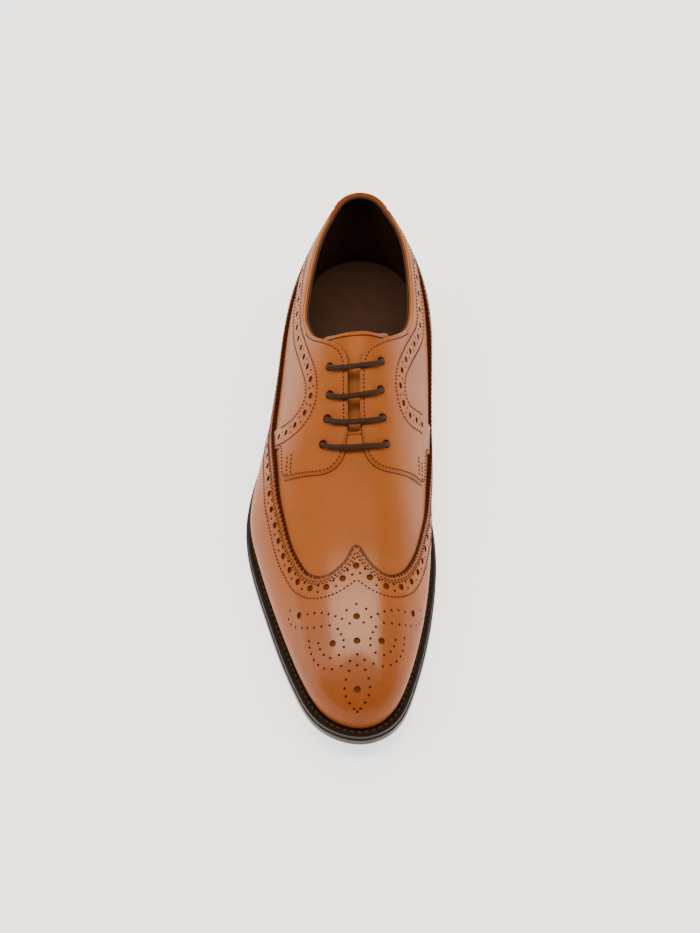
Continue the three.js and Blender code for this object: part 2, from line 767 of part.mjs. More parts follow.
function makeHeelStrip() {
  const piece = sheet.intersect(stripPattern(0)).intersect(wingOpening(EDGE_GAP)).subtract(opening);
  return lasted(piece, even(GAP), even(GAP + OVERLAY_WALL));
}

// The tongue lies under the lacing, and rises to the inside of the vamp at its seam.
function makeTongue() {
  const lateral = TONGUE_EDGE.map((row) => onPattern("lateral", row));
  const medial = TONGUE_EDGE.slice(1).map((row) => onPattern("medial", row)).reverse();
  const depth = (x, y) => {
    const share = shareOfUpper(CENTRE_S - y);
    const seated = THREE.MathUtils.smoothstep(share, TONGUE_RISES_FROM, TONGUE_SEATED_AT);
    return THREE.MathUtils.lerp(TONGUE_DEPTH, TONGUE_SEAT_DEPTH, seated);
  };
  const under = (x, y) => -depth(x, y) - TONGUE_WALL;
  const over = (x, y) => -depth(x, y);
  return lasted(sheet.intersect(cutter([...lateral, ...medial])), under, over);
}

// Plates

// A flat piece between two outlines, in rungs from the heel end. Each of its faces has its own
// outline and height, and only the part up to a given share of the outline is made.
function plate({ top, bottom, topHeight, bottomHeight, until = 1, rungs = STATIONS }) {
  const positions = [];
  const indices = [];
  const put = (tracks, side, t, height) => {
    const p = tracks[side].at(t);
    const q = toPart(p.x, p.y, height(p.y));
    positions.push(q.x, q.y, q.z);
  };
  for (let i = 0; i <= rungs; i++) {
    const t = until * i / rungs;
    put(bottom, "lateral", t, bottomHeight);
    put(bottom, "medial", t, bottomHeight);
    put(top, "medial", t, topHeight);
    put(top, "lateral", t, topHeight);
  }
  for (let i = 0; i < rungs; i++) {
    for (let k = 0; k < 4; k++) {
      const [a, b] = [4 * i + k, 4 * i + (k + 1) % 4];
      indices.push(a, b, b + 4, a, b + 4, a + 4);
    }
  }
  const end = 4 * rungs;
  indices.push(0, 2, 1, 0, 3, 2, end, end + 1, end + 2, end, end + 2, end + 3);
  return closeDoubles(positions, indices);
}

// Joins points that coincide, where a piece comes to a single edge, and drops faces without area.
function closeDoubles(positions, indices) {
  const merged = mergeVertices(toGeometry(positions, indices).deleteAttribute("normal"), 1e-3);
  const kept = [];
  const ids = merged.index.array;
  for (let i = 0; i < ids.length; i += 3) {
    const [a, b, c] = [ids[i], ids[i + 1], ids[i + 2]];
    if (a !== b && b !== c && c !== a) kept.push(a, b, c);
  }
  return toGeometry(Array.from(merged.attributes.position.array), kept);
}

// A ring between an outer and an inner outline.
function ring({ outer, inner, topHeight, bottomHeight }) {
  const loop = (tracks, height) => {
    const line = [];
    for (let i = 0; i < STATIONS; i++) line.push(tracks.lateral.at(i / STATIONS));
    for (let i = STATIONS; i > 0; i--) line.push(tracks.medial.at(i / STATIONS));
    return line.map((p) => toPart(p.x, p.y, height(p.y)));
  };
  const loops = [
    loop(outer, bottomHeight), loop(outer, topHeight), loop(inner, topHeight), loop(inner, bottomHeight),
  ];
  const count = loops[0].length;
  const positions = loops.flat().flatMap((p) => [p.x, p.y, p.z]);
  const indices = [];
  for (let i = 0; i < count; i++) {
    const j = (i + 1) % count;
    for (let k = 0; k < 4; k++) {
      const [a, b] = [k * count, ((k + 1) % 4) * count];
      indices.push(a + i, a + j, b + j, a + i, b + j, b + i);
    }
  }
  return toGeometry(positions, indices);
}

const above = (height) => (s) => soleRise(s) + height;

function makeOutsole() {
  return plate({ top: soleEdge, bottom: soleEdge, topHeight: above(SOLE_THICKNESS), bottomHeight: above(0) });
}

function makeWelt() {
  return ring({
    outer: insetOutline(soleEdge, even(WELT_STEP)),
    inner: insetOutline(featherEdge, even(WELT_REACH_UNDER)),
    topHeight: above(WELT_TOP),
    bottomHeight: above(SOLE_THICKNESS + GAP),
  });
}

// The insole's rim lies on the welt inside the upper, and its middle fills the ring of the welt.
function makeInsole() {
  const rimEdge = insetOutline(featherEdge, even(UPPER_WALL + INSOLE_MARGIN));
  const middleEdge = insetOutline(featherEdge, even(WELT_REACH_UNDER + INSOLE_MARGIN));
  const top = FEATHER + INSOLE_THICKNESS;
  const rungs = INSOLE_RUNGS;
  const rim = plate({
    top: rimEdge, bottom: rimEdge, topHeight: above(top), bottomHeight: above(FEATHER), rungs,
  });
  const middle = plate({
    top: middleEdge,
    bottom: middleEdge,
    topHeight: above(top - INSOLE_THICKNESS / 2),
    bottomHeight: above(SOLE_THICKNESS + GAP),
    rungs,
  });
  return fromSolid(toSolid(rim).add(toSolid(middle)));
}

// Share of the sole's outline where the heel's breast lies, on the mean of both sides.
function breastShare() {
  let t = 0;
  const station = (u) => (soleEdge.lateral.at(u).y + soleEdge.medial.at(u).y) / 2;
  while (station(t) < HEEL_BREAST) t += 0.001;
  return t;
}

function heelPart(topHeight, bottomHeight, topInset, bottomInset) {
  return plate({
    top: insetOutline(soleEdge, even(topInset)),
    bottom: insetOutline(soleEdge, even(bottomInset)),
    topHeight,
    bottomHeight,
    until: breastShare(),
    rungs: HEEL_RUNGS,
  });
}

function makeHeelStack() {
  const joint = HEEL_TAPER * (1 - TOP_PIECE_THICKNESS / HEEL_HEIGHT);
  return heelPart(above(-GAP), even(TOP_PIECE_THICKNESS + GAP), WELT_STEP, WELT_STEP + joint);
}

function makeTopPiece() {
  const joint = HEEL_TAPER * (1 - TOP_PIECE_THICKNESS / HEEL_HEIGHT);
  return heelPart(even(TOP_PIECE_THICKNESS), even(0), WELT_STEP + joint, WELT_STEP + HEEL_TAPER);
}

// Lace

// A cord with mitred corners: its ring of points slides along each length to the next mitre.
function cord(path, diameter) {
  const directions = path.slice(1).map((p, i) => p.clone().sub(path[i]).normalize());
  const start = directions[0];
  const across = new THREE.Vector3(0, 0, 1).cross(start);
  if (across.lengthSq() < 0.01) across.set(1, 0, 0).cross(start);
  across.normalize();
  const up = start.clone().cross(across);
  let points = [];
  for (let k = 0; k < LACE_SIDES; k++) {
    const turn = 2 * Math.PI * k / LACE_SIDES;
    const spoke = across.clone().multiplyScalar(Math.cos(turn)).addScaledVector(up, Math.sin(turn));
    points.push(path[0].clone().addScaledVector(spoke, diameter / 2));
  }
  const positions = points.flatMap((p) => [p.x, p.y, p.z]);
  const indices = [];
  for (let i = 1; i < path.length; i++) {
    const ahead = directions[Math.min(i, directions.length - 1)];
    const mitre = directions[i - 1].clone().add(ahead).normalize();
    points = points.map((p) => {
      const reach = path[i].clone().sub(p).dot(mitre) / directions[i - 1].dot(mitre);
      return p.clone().addScaledVector(directions[i - 1], reach);
    });
    for (const p of points) positions.push(p.x, p.y, p.z);
    for (let k = 0; k < LACE_SIDES; k++) {
      const [a, b] = [(i - 1) * LACE_SIDES + k, (i - 1) * LACE_SIDES + (k + 1) % LACE_SIDES];
      indices.push(a, b, b + LACE_SIDES, a, b + LACE_SIDES, a + LACE_SIDES);
    }
  }
  const end = (path.length - 1) * LACE_SIDES;
  for (let k = 1; k < LACE_SIDES - 1; k++) indices.push(0, k + 1, k, end, end + k, end + k + 1);
  return toGeometry(positions, indices);
}

// The lace's stops, in order. A bar crosses over the facings; a run passes up the inside.
// A long run passes one pair on the side of the foot's middle or the outside of it.
const LACE_ROUTE = [
  { pair: 0, side: "lateral", go: "bar" },
  { pair: 0, side: "medial", go: "run", shift: 1 },
  { pair: 2, side: "medial", go: "bar" },
  { pair: 2, side: "lateral", go: "run", shift: 0 },
  { pair: 3, side: "lateral", go: "bar" },
  { pair: 3, side: "medial", go: "run", shift: -1 },
  { pair: 1, side: "medial", go: "bar" },
  { pair: 1, side: "lateral", go: "run", shift: 0 },
];

const eyeletPoint = (stop) => onPattern(stop.side, EYELETS[stop.pair]);

function makeLace() {
  const path = [];
  const barSteps = 12;
  const put = (p, offset) => path.push(onForm(p.x, p.y, offset));
  put(eyeletPoint(LACE_ROUTE[0]), -LACE_UNDER);
  LACE_ROUTE.forEach((stop, i) => {
    const from = eyeletPoint(stop);
    const next = LACE_ROUTE[i + 1];
    if (stop.go === "bar") {
      const to = eyeletPoint(next);
      for (let k = 0; k <= barSteps; k++) put(from.clone().lerp(to, k / barSteps), LACE_OVER);
      return;
    }
    put(from, -LACE_UNDER);
    if (next === undefined) {
      const top = eyeletPoint(LACE_ROUTE[0]);
      put(from.clone().lerp(top, 0.72), -LACE_UNDER);
      return;
    }
    const to = eyeletPoint(next);
    const aside = new THREE.Vector2(outward[stop.side] * stop.shift * LACE_LANE / 2, 0);
    if (stop.shift !== 0) {
      for (const part of [0.25, 0.75]) put(from.clone().lerp(to, part).add(aside), -LACE_UNDER);
    }
    put(to, -LACE_UNDER);
  });
  return cord(path, LACE_DIAMETER);
}

// Finishes

const FINISHES = {
  tan: { color: 0xb5652b, roughness: 0.42, metalness: 0 },
  tanBurnished: { color: 0xa45a26, roughness: 0.4, metalness: 0 },
  redBrown: { color: 0x8a3f22, roughness: 0.45, metalness: 0 },
  tongueTan: { color: 0xac6a3a, roughness: 0.5, metalness: 0 },
  darkEdge: { color: 0x2a1a14, roughness: 0.4, metalness: 0 },
  weltBrown: { color: 0x33211a, roughness: 0.5, metalness: 0 },
  rubber: { color: 0x1b1715, roughness: 0.7, metalness: 0 },
  lining: { color: 0x3a2318, roughness: 0.6, metalness: 0 },
  cord: { color: 0x3a261c, roughness: 0.6, metalness: 0 },
};

const PIECES = [
  { name: "outsole", make: makeOutsole, finish: "darkEdge" },
  { name: "welt", make: makeWelt, finish: "weltBrown" },
  { name: "heel_stack", make: makeHeelStack, finish: "darkEdge" },
  { name: "top_piece", make: makeTopPiece, finish: "rubber" },
  { name: "insole", make: makeInsole, finish: "lining" },
  { name: "upper", make: makeUpper, finish: "tan" },
  { name: "wing_tip", make: makeWing, finish: "tanBurnished" },
  { name: "facing_lateral", make: () => makeFacing("lateral"), finish: "tan" },
  { name: "facing_medial", make: () => makeFacing("medial"), finish: "tan" },
  { name: "heel_strip", make: makeHeelStrip, finish: "redBrown" },
  { name: "tongue", make: makeTongue, finish: "tongueTan" },
  { name: "lace", make: makeLace, finish: "cord" },
];

const shoe = new THREE.Group();
for (const { name, make, finish } of PIECES) {
  const mesh = new THREE.Mesh(make(), new THREE.MeshStandardMaterial(FINISHES[finish]));
  mesh.name = name;
  shoe.add(mesh);
}

export default shoe;
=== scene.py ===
import math

import bpy
import mathutils
import numpy as np
from mathutils.geometry import delaunay_2d_cdt
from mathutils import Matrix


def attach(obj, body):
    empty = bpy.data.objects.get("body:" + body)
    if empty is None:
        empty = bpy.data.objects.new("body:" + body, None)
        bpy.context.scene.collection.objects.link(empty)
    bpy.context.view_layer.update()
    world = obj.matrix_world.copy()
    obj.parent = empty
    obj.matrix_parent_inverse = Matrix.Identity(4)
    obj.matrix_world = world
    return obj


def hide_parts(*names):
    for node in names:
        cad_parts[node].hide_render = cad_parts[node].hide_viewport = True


bl_info = {
    "name": "Brogue shoe",
    "version": (1, 0, 0),
    "blender": (4, 5, 0),
    "location": "View3D > Sidebar > Shoe",
    "description": "Longwing brogue derby, right foot, in tan leather",
    "category": "Object",
}

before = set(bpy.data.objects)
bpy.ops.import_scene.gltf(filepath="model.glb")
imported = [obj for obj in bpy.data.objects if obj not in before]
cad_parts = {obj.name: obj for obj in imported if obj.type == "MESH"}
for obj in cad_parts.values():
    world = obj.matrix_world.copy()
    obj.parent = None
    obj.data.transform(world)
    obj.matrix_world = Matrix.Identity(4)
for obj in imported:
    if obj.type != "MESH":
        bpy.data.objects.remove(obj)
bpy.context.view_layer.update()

# Everything below is in millimetres until it goes into a mesh.
MM = 0.001
LATERAL, MEDIAL = -1, 1
SOLE_LENGTH = 299.0
UPPER_LENGTH = 290.4
UPPER_SETBACK = 3.1
BALL_WIDTH = 101.0
HEEL_HEIGHT = 25.0
TOP_PIECE = 6.0
HEEL_BREAST = 67.0
HEEL_TAPER = 2.0
SOLE_THICKNESS = 5.0
WELT_THICKNESS = 3.0
WELT_STEP = 0.6
WELT_REACH_OUT = 6.0
WELT_REACH_UNDER = 5.0
TOE_SPRING = 11.0
INSTEP_HEIGHT = 85.0
CREST_FROM_HEEL = 36.0
CREST_FROM_TOE = 30.0
UNDERCUT_HEIGHT = 18.0
COLLAR_HEIGHT = 94.5
UPPER_WALL = 2.0
OVERLAY_WALL = 1.2
OVERLAY_LIFT = 0.05
WING_WALL = 1.3
WAIST_THICKER = 1.1
STRIP_WALL = 1.3
TONGUE_WALL = 2.2
INSOLE_THICKNESS = 2.5
LACE_CLEARANCE = 0.6
LACE_LANE = 2.6
THROAT_GAP = 6.4
GAP = 0.3
SPINE_SOFTNESS = 0.048


def rows(names, values):
    """A table as one array for each named column. Lengths are shares of the sizes above."""
    return dict(zip(names.split(), np.array(values).T))


SOLE_OUTLINE = rows("at lateral medial", (
    (0.0, 0.0, 0.0), (0.015, 0.163, 0.163), (0.055, 0.285, 0.287), (0.12, 0.342, 0.337),
    (0.2, 0.361, 0.307), (0.29, 0.388, 0.257), (0.37, 0.451, 0.267), (0.44, 0.535, 0.317),
    (0.5, 0.583, 0.361), (0.56, 0.6, 0.391), (0.64, 0.568, 0.4), (0.74, 0.486, 0.372),
    (0.825, 0.409, 0.327), (0.905, 0.322, 0.267), (0.955, 0.246, 0.21), (0.986, 0.144, 0.127),
    (1.0, 0.0, 0.0),
))

BODY_OUTLINE = rows("at lateral medial", (
    (0.0, 0.0, 0.0), (0.014, 0.149, 0.153), (0.051, 0.275, 0.282), (0.117, 0.356, 0.358),
    (0.233, 0.415, 0.386), (0.37, 0.467, 0.391), (0.5, 0.547, 0.378), (0.575, 0.58, 0.376),
    (0.645, 0.55, 0.373), (0.75, 0.463, 0.346), (0.836, 0.379, 0.303), (0.9, 0.312, 0.259),
    (0.952, 0.233, 0.203), (0.984, 0.14, 0.128), (1.0, 0.0, 0.0),
))

SOLE_RISE = rows("at arch spring", (
    (0.0, 1.0, 0.0), (0.14, 1.0, 0.0), (0.24, 0.88, 0.0), (0.34, 0.61, 0.0), (0.45, 0.26, 0.0),
    (0.55, 0.045, 0.0), (0.61, -0.02, -0.02), (0.7, 0.0, -0.02), (0.76, 0.0, 0.08),
    (0.82, 0.0, 0.24), (0.9, 0.0, 0.56), (1.0, 0.0, 1.0),
))

WELT_REACH = rows("at reach", (
    (0.0, 0.36), (0.25, 0.37), (0.4, 0.58), (0.5, 0.93), (1.0, 1.0),
))

CREST = rows("at height side round", (
    (0.0, 1.0, 0.026, 1.9), (0.13, 0.976, 0.022, 1.85), (0.25, 0.965, 0.004, 1.7),
    (0.36, 0.972, -0.005, 1.55), (0.45, 0.93, 0.001, 1.5), (0.55, 0.827, 0.005, 1.53),
    (0.65, 0.688, 0.006, 1.63), (0.75, 0.563, 0.002, 1.8), (0.84, 0.458, -0.003, 2.0),
    (0.92, 0.345, -0.011, 2.15), (1.0, 0.224, -0.015, 2.3),
))

LEAN = rows("at lean", (
    (0.0, -0.68), (0.03, -0.4), (0.06, 0.5), (0.1, 1.35), (0.15, 1.72), (0.25, 1.9),
    (0.33, 1.8), (0.45, 1.4), (0.6, 1.0), (0.8, 0.85), (1.0, 0.72),
))

TOPLINE = rows("at height", (
    (0.0, 1.0), (0.062, 0.974), (0.13, 0.91), (0.199, 0.841), (0.261, 0.815), (0.309, 0.862),
    (0.35, 0.952), (0.377, 1.011), (0.405, 1.033), (0.446, 1.053),
))

COLLAR_FRONT = rows("at lateral medial", (
    (0.295, 0.219, 0.195), (0.321, 0.195, 0.161), (0.342, 0.162, 0.125), (0.358, 0.127, 0.091),
    (0.375, 0.088, 0.053), (0.385, 0.067, 0.029), (0.399, 0.051, 0.01), (0.412, 0.043, 0.003),
))

LACING_LINE = rows("at side", (
    (0.302, -0.022), (0.419, -0.022), (0.511, -0.018), (0.559, -0.017),
))

WING_EDGE = rows("at lateral medial", (
    (0.022, 0.0, 0.0), (0.034, 0.094, 0.104), (0.069, 0.198, 0.196), (0.123, 0.287, 0.282),
    (0.192, 0.341, 0.32), (0.274, 0.365, 0.33), (0.364, 0.378, 0.331), (0.432, 0.372, 0.319),
    (0.52, 0.327, 0.293), (0.586, 0.3, 0.271), (0.638, 0.273, 0.241), (0.688, 0.243, 0.208),
    (0.727, 0.206, 0.171), (0.753, 0.168, 0.131), (0.764, 0.114, 0.082), (0.751, 0.059, 0.037),
    (0.732, 0.029, 0.008), (0.719, 0.012, -0.012),
))

FACING_EDGE = rows("at lateral medial back", (
    (0.041, 0.04, 0.05, 0.0), (0.055, 0.139, 0.144, 0.0), (0.086, 0.223, 0.218, 0.0),
    (0.134, 0.268, 0.262, 0.0), (0.192, 0.288, 0.28, 0.0), (0.247, 0.294, 0.283, 0.0),
    (0.295, 0.282, 0.262, 0.005), (0.334, 0.26, 0.228, 0.004), (0.367, 0.239, 0.198, 0.002),
    (0.401, 0.215, 0.18, 0.013), (0.43, 0.205, 0.17, 0.017), (0.449, 0.221, 0.184, 0.019),
    (0.453, 0.264, 0.213, 0.029), (0.441, 0.315, 0.255, 0.031), (0.428, 0.36, 0.305, 0.026),
    (0.418, 0.41, 0.36, 0.024), (0.47, 0.41, 0.36, 0.024), (0.48, 0.34, 0.3, 0.024),
    (0.505, 0.3, 0.272, 0.022), (0.561, 0.278, 0.251, 0.021), (0.571, 0.237, 0.208, 0.017),
    (0.58, 0.175, 0.147, 0.01), (0.586, 0.12, 0.091, 0.005), (0.583, 0.086, 0.055, 0.002),
    (0.574, 0.064, 0.034, 0.0), (0.563, 0.051, 0.02, 0.0), (0.545, 0.046, 0.013, 0.0),
    (0.521, 0.039, 0.008, 0.0), (0.509, 0.038, 0.004, 0.0),
))

FACING_INNER = rows("at side", (
    (0.504, -0.018), (0.419, -0.022), (0.302, -0.015), (0.151, 0.02), (0.062, 0.01),
))

STRIP_EDGE = rows("at lateral medial", (
    (0.024, 0.045, 0.064), (0.051, 0.054, 0.074), (0.089, 0.084, 0.109), (0.117, 0.099, 0.124),
))

TONGUE_EDGE = rows("at lateral medial", (
    (0.354, 0.022, -0.022), (0.351, 0.069, 0.044), (0.338, 0.142, 0.113), (0.32, 0.203, 0.161),
    (0.405, 0.188, 0.149), (0.508, 0.163, 0.134), (0.6, 0.153, 0.129),
))

EYELETS = rows("at lateral medial back", (
    (0.412, 0.104, 0.068, 0.006), (0.46, 0.1, 0.067, 0.006), (0.499, 0.107, 0.073, 0.0),
    (0.539, 0.12, 0.085, 0.0),
))

COLLAR_END = 0.42
COLLAR_BLEND = 0.03
THROAT_STEPS = (0.44, 0.48, 0.518)
THROAT_END = 0.528
TONGUE_RISES_FROM = 0.55
TONGUE_SEATED_AT = 0.585

CENTRE_X = (SOLE_OUTLINE["medial"].max() - SOLE_OUTLINE["lateral"].max()) * BALL_WIDTH / 2
CENTRE_S = SOLE_LENGTH / 2
WELT_TOP = SOLE_THICKNESS + GAP + WELT_THICKNESS
FEATHER = WELT_TOP + GAP
THROAT_HALF = THROAT_GAP / math.pi


# Curves

def spline(knots, values):
    """Natural cubic spline: the second derivatives solve a tridiagonal system, and each span is
    the cubic that they fix."""
    k, v = np.asarray(knots, float), np.asarray(values, float)
    n, h = len(k), np.diff(k)
    system, load = np.eye(n), np.zeros(n)
    i = np.arange(1, n - 1)
    system[i, i - 1], system[i, i], system[i, i + 1] = h[:-1], 2 * (h[:-1] + h[1:]), h[1:]
    load[1:-1] = 6 * np.diff(np.diff(v) / h)
    bend = np.linalg.solve(system, load)

    def read(at):
        u = np.clip(at, k[0], k[-1])
        j = np.clip(np.searchsorted(k, u) - 1, 0, n - 2)
        a = (k[j + 1] - u) / h[j]
        b = 1 - a
        curve = ((a**3 - a) * bend[j] + (b**3 - b) * bend[j + 1]) * h[j] ** 2 / 6
        return a * v[j] + b * v[j + 1] + curve

    return read


def column(table, name, scale=1.0):
    return spline(table["at"], table[name] * scale)


def closed_spline(points, step):
    """Closed smooth line through points, read at an even spacing close to step. The knots are the
    square roots of the chords, and the line is wrapped past its ends before it is splined."""
    n, wrap = len(points), 5
    loop = points[np.arange(-wrap, n + wrap + 1) % n]
    knots = np.append(0, np.cumsum(np.sqrt(np.hypot(*np.diff(loop, axis=0).T))))
    u = np.linspace(knots[wrap], knots[wrap + n], 4001)
    line = np.stack([spline(knots, loop[:, 0])(u), spline(knots, loop[:, 1])(u)], 1)
    return even_steps(line, step)[:-1]


def even_steps(line, step):
    """The same line with points an even distance apart."""
    reach = np.append(0, np.cumsum(np.linalg.norm(np.diff(line, axis=0), axis=1)))
    aim = np.linspace(0, reach[-1], max(2, round(reach[-1] / step)) + 1)
    return np.stack([np.interp(aim, reach, c) for c in line.T], 1)


SAMPLES = 2001
SHARES = np.linspace(0, 1, SAMPLES)


def outline(table, length, start):
    """Both sides of an outline table, from heel to toe, as evenly spaced points (across, along)."""
    n = len(table["at"])
    along = start + table["at"] * length
    lateral = np.stack([-table["lateral"] * BALL_WIDTH, along], 1)
    medial = np.stack([table["medial"] * BALL_WIDTH, along], 1)
    points = np.vstack([lateral, medial[-2:0:-1]])
    wrap = 5
    loop = points[np.arange(-wrap, len(points) + wrap + 1) % len(points)]
    knots = np.append(0, np.cumsum(np.sqrt(np.hypot(*np.diff(loop, axis=0).T))))
    across, down = spline(knots, loop[:, 0]), spline(knots, loop[:, 1])
    heel, toe, again = knots[wrap], knots[wrap + n - 1], knots[wrap + 2 * n - 2]
    sides = {}
    for side, begin in ((LATERAL, heel), (MEDIAL, again)):
        u = np.linspace(begin, toe, 8001)
        line = np.stack([across(u), down(u)], 1)
        reach = np.append(0, np.cumsum(np.hypot(*np.diff(line, axis=0).T)))
        sides[side] = np.stack([np.interp(SHARES * reach[-1], reach, c) for c in line.T], 1)
    return sides


def inset(sides, distance):
    """The outline moved towards the axis by a distance, or by one for each share of its length."""
    moved = {}
    for side, line in sides.items():
        along = np.gradient(line, axis=0)
        along /= np.linalg.norm(along, axis=1)[:, None]
        inwards = np.stack([along[:, 1], -along[:, 0]], 1) * -side
        moved[side] = line + inwards * np.broadcast_to(distance, SAMPLES)[:, None]
    return moved


def track(sides, side, t):
    """Points of an outline at shares t of its length. side may be an array of the same shape."""
    read = [np.stack([np.interp(t, SHARES, c) for c in sides[s].T], -1) for s in (LATERAL, MEDIAL)]
    return np.where((np.asarray(side) < 0)[..., None], read[0], read[1])


# The last

arch_rise = column(SOLE_RISE, "arch", HEEL_HEIGHT)
spring_rise = column(SOLE_RISE, "spring", TOE_SPRING)
crest_height = column(CREST, "height", INSTEP_HEIGHT)
crest_side = column(CREST, "side", BALL_WIDTH)
section_round = column(CREST, "round")
wall_lean = column(LEAN, "lean")
topline_height = column(TOPLINE, "height", COLLAR_HEIGHT)
lacing_side = column(LACING_LINE, "side", BALL_WIDTH)
sole_edge = outline(SOLE_OUTLINE, SOLE_LENGTH, 0)
body_edge = outline(BODY_OUTLINE, UPPER_LENGTH, UPPER_SETBACK)
feather_edge = inset(sole_edge, column(WELT_REACH, "reach", WELT_REACH_OUT)(SHARES))


def share_of(s):
    return (s - UPPER_SETBACK) / UPPER_LENGTH


def station_of(share):
    return UPPER_SETBACK + share * UPPER_LENGTH


def sole_rise(s):
    at = s / SOLE_LENGTH
    return np.maximum(0, arch_rise(at)) + np.maximum(0, spring_rise(at))


def spine_share(share):
    """Where the crest lies for an outline's station: it stops short of heel and toe, softly."""
    def soft(v):
        return 0.5 * (v + np.hypot(v, SPINE_SOFTNESS))

    heel = CREST_FROM_HEEL / UPPER_LENGTH
    toe = 1 - CREST_FROM_TOE / UPPER_LENGTH
    return toe - soft(toe - heel - soft(share - heel))


def crest_line(t):
    middle = (track(body_edge, LATERAL, t)[..., 1] + track(body_edge, MEDIAL, t)[..., 1]) / 2
    share = spine_share(share_of(middle))
    return share, np.stack([crest_side(share), station_of(share)], -1)


def form_point(side, t, angle):
    """The last's surface. A section line runs from the outline, at angle 0, over a superellipse
    to the crest, at a quarter turn. Its foot is drawn in to the feather."""
    edge, foot = track(body_edge, side, t), track(feather_edge, side, t)
    share, crest = crest_line(t)
    level = np.maximum(0, np.cos(angle))
    reach = np.where(level > 0, np.maximum(level, 1e-9) ** (1 + (wall_lean(t) - 1) * level**2), 0)
    step = 0.001
    slope = (crest_height(share + step) - crest_height(share - step)) / (2 * step * UPPER_LENGTH)
    plan = crest + (edge - crest) * reach[..., None]
    high = np.sin(np.clip(angle, 0, math.pi / 2))
    rise = crest_height(share) * high ** (2 / section_round(share))
    past = edge[..., 1] > crest[..., 1]
    rise = rise + np.where(past, slope * (plan[..., 1] - crest[..., 1]) * high**2, 0)
    drawn = np.maximum(0, 1 - rise / UNDERCUT_HEIGHT) ** 2
    plan = plan + (foot - edge) * drawn[..., None]
    return np.stack([plan[..., 0] - CENTRE_X, CENTRE_S - plan[..., 1],
                     sole_rise(plan[..., 1]) + FEATHER + rise], -1)


CRESTS = crest_line(SHARES)[1]
MIDDLE = np.vstack([body_edge[LATERAL][:1], CRESTS, body_edge[LATERAL][-1:]])


def locate(flat):
    """Side, share and angle of points of the flat pattern, where a section line is the straight
    line from crest to outline, divided by angle. The share is found by halving."""
    side = np.where(flat[:, 0] < np.interp(flat[:, 1], MIDDLE[:, 1], MIDDLE[:, 0]), LATERAL, MEDIAL)
    low, high = np.zeros(len(flat)), np.ones(len(flat))
    for _ in range(34):
        t = (low + high) / 2
        crest = np.stack([np.interp(t, SHARES, c) for c in CRESTS.T], 1)
        line, point = track(body_edge, side, t) - crest, flat - crest
        ahead = side * (line[:, 0] * point[:, 1] - line[:, 1] * point[:, 0]) > 0
        low, high = np.where(ahead, t, low), np.where(ahead, high, t)
    part = np.linalg.norm(point, axis=1) / np.maximum(np.linalg.norm(line, axis=1), 1e-9)
    return side, t, (1 - np.clip(part, 0, 1)) * math.pi / 2


def pattern_point(side, t, angle):
    crest = crest_line(t)[1]
    part = (1 - angle / (math.pi / 2))[..., None]
    return crest + (track(body_edge, side, t) - crest) * part


def on_last(flat):
    """Places on the last of points of the flat pattern, and the directions out of it, which are
    the cross products of the two tangents and never point below the horizontal."""
    side, t, angle = locate(flat)
    place = form_point(side, t, angle)
    step = 0.004
    t0, t1 = np.clip(t - step, 0, 1), np.clip(t + step, 0, 1)
    a0, a1 = np.clip(angle - step, 0, math.pi / 2), np.clip(angle + step, 0, math.pi / 2)
    along = form_point(side, t1, angle) - form_point(side, t0, angle)
    around = form_point(side, t, a1) - form_point(side, t, a0)
    out = np.cross(around, along) * side[:, None]
    out /= np.maximum(np.linalg.norm(out, axis=1), 1e-12)[:, None]
    out[:, 2] = np.maximum(out[:, 2], 0)
    return place, out / np.maximum(np.linalg.norm(out, axis=1), 1e-12)[:, None]


def stretch(flat):
    """How the flat pattern stretches over the last: the metric of its tangents at each point."""
    step = 0.2
    pairs = []
    for turn in (np.array([step, 0]), np.array([0, step])):
        ahead, behind = (form_point(*locate(flat + way * turn)) for way in (1, -1))
        pairs.append((ahead - behind) / (2 * step))
    a, b = pairs
    metric = np.empty((len(flat), 2, 2))
    metric[:, 0, 0], metric[:, 1, 1] = (a * a).sum(1) + 1e-4, (b * b).sum(1) + 1e-4
    metric[:, 0, 1] = metric[:, 1, 0] = (a * b).sum(1)
    return metric


def shifted(line, distance, closed=True):
    """A line of the pattern moved to its left by true distances over the last."""
    if closed:
        along = np.roll(line, -1, 0) - np.roll(line, 1, 0)
    else:
        along = np.gradient(line, axis=0)
    left = np.stack([-along[:, 1], along[:, 0]], 1)
    way = np.linalg.solve(stretch(line), left[..., None])[..., 0]
    length = np.sqrt(np.maximum((way * left).sum(1), 1e-12))
    return line + way / length[:, None] * np.broadcast_to(distance, len(line))[:, None]


def true_steps(line, step, closed=False):
    """Points along a line of the pattern, evenly spaced over the last."""
    if closed:
        line = np.vstack([line, line[:1]])
    place = on_last(line)[0]
    reach = np.append(0, np.cumsum(np.linalg.norm(np.diff(place, axis=0), axis=1)))
    aim = np.linspace(0, reach[-1], max(2, round(reach[-1] / step)) + 1)
    points = np.stack([np.interp(aim, reach, c) for c in line.T], 1)
    return points[:-1] if closed else points


def circles(centres, radius, sides):
    """Round holes over the last, as rings of the pattern: circles of the metric at each centre."""
    turn = np.linspace(0, 2 * math.pi, sides, endpoint=False)
    spokes = np.stack([np.cos(turn), np.sin(turn)], 1)
    root = np.linalg.cholesky(stretch(centres))
    spokes = np.broadcast_to(spokes.T, (len(centres), 2, sides))
    unit = np.linalg.solve(np.transpose(root, (0, 2, 1)), spokes)
    return centres[:, None] + np.transpose(unit, (0, 2, 1)) * np.reshape(radius, (-1, 1, 1))


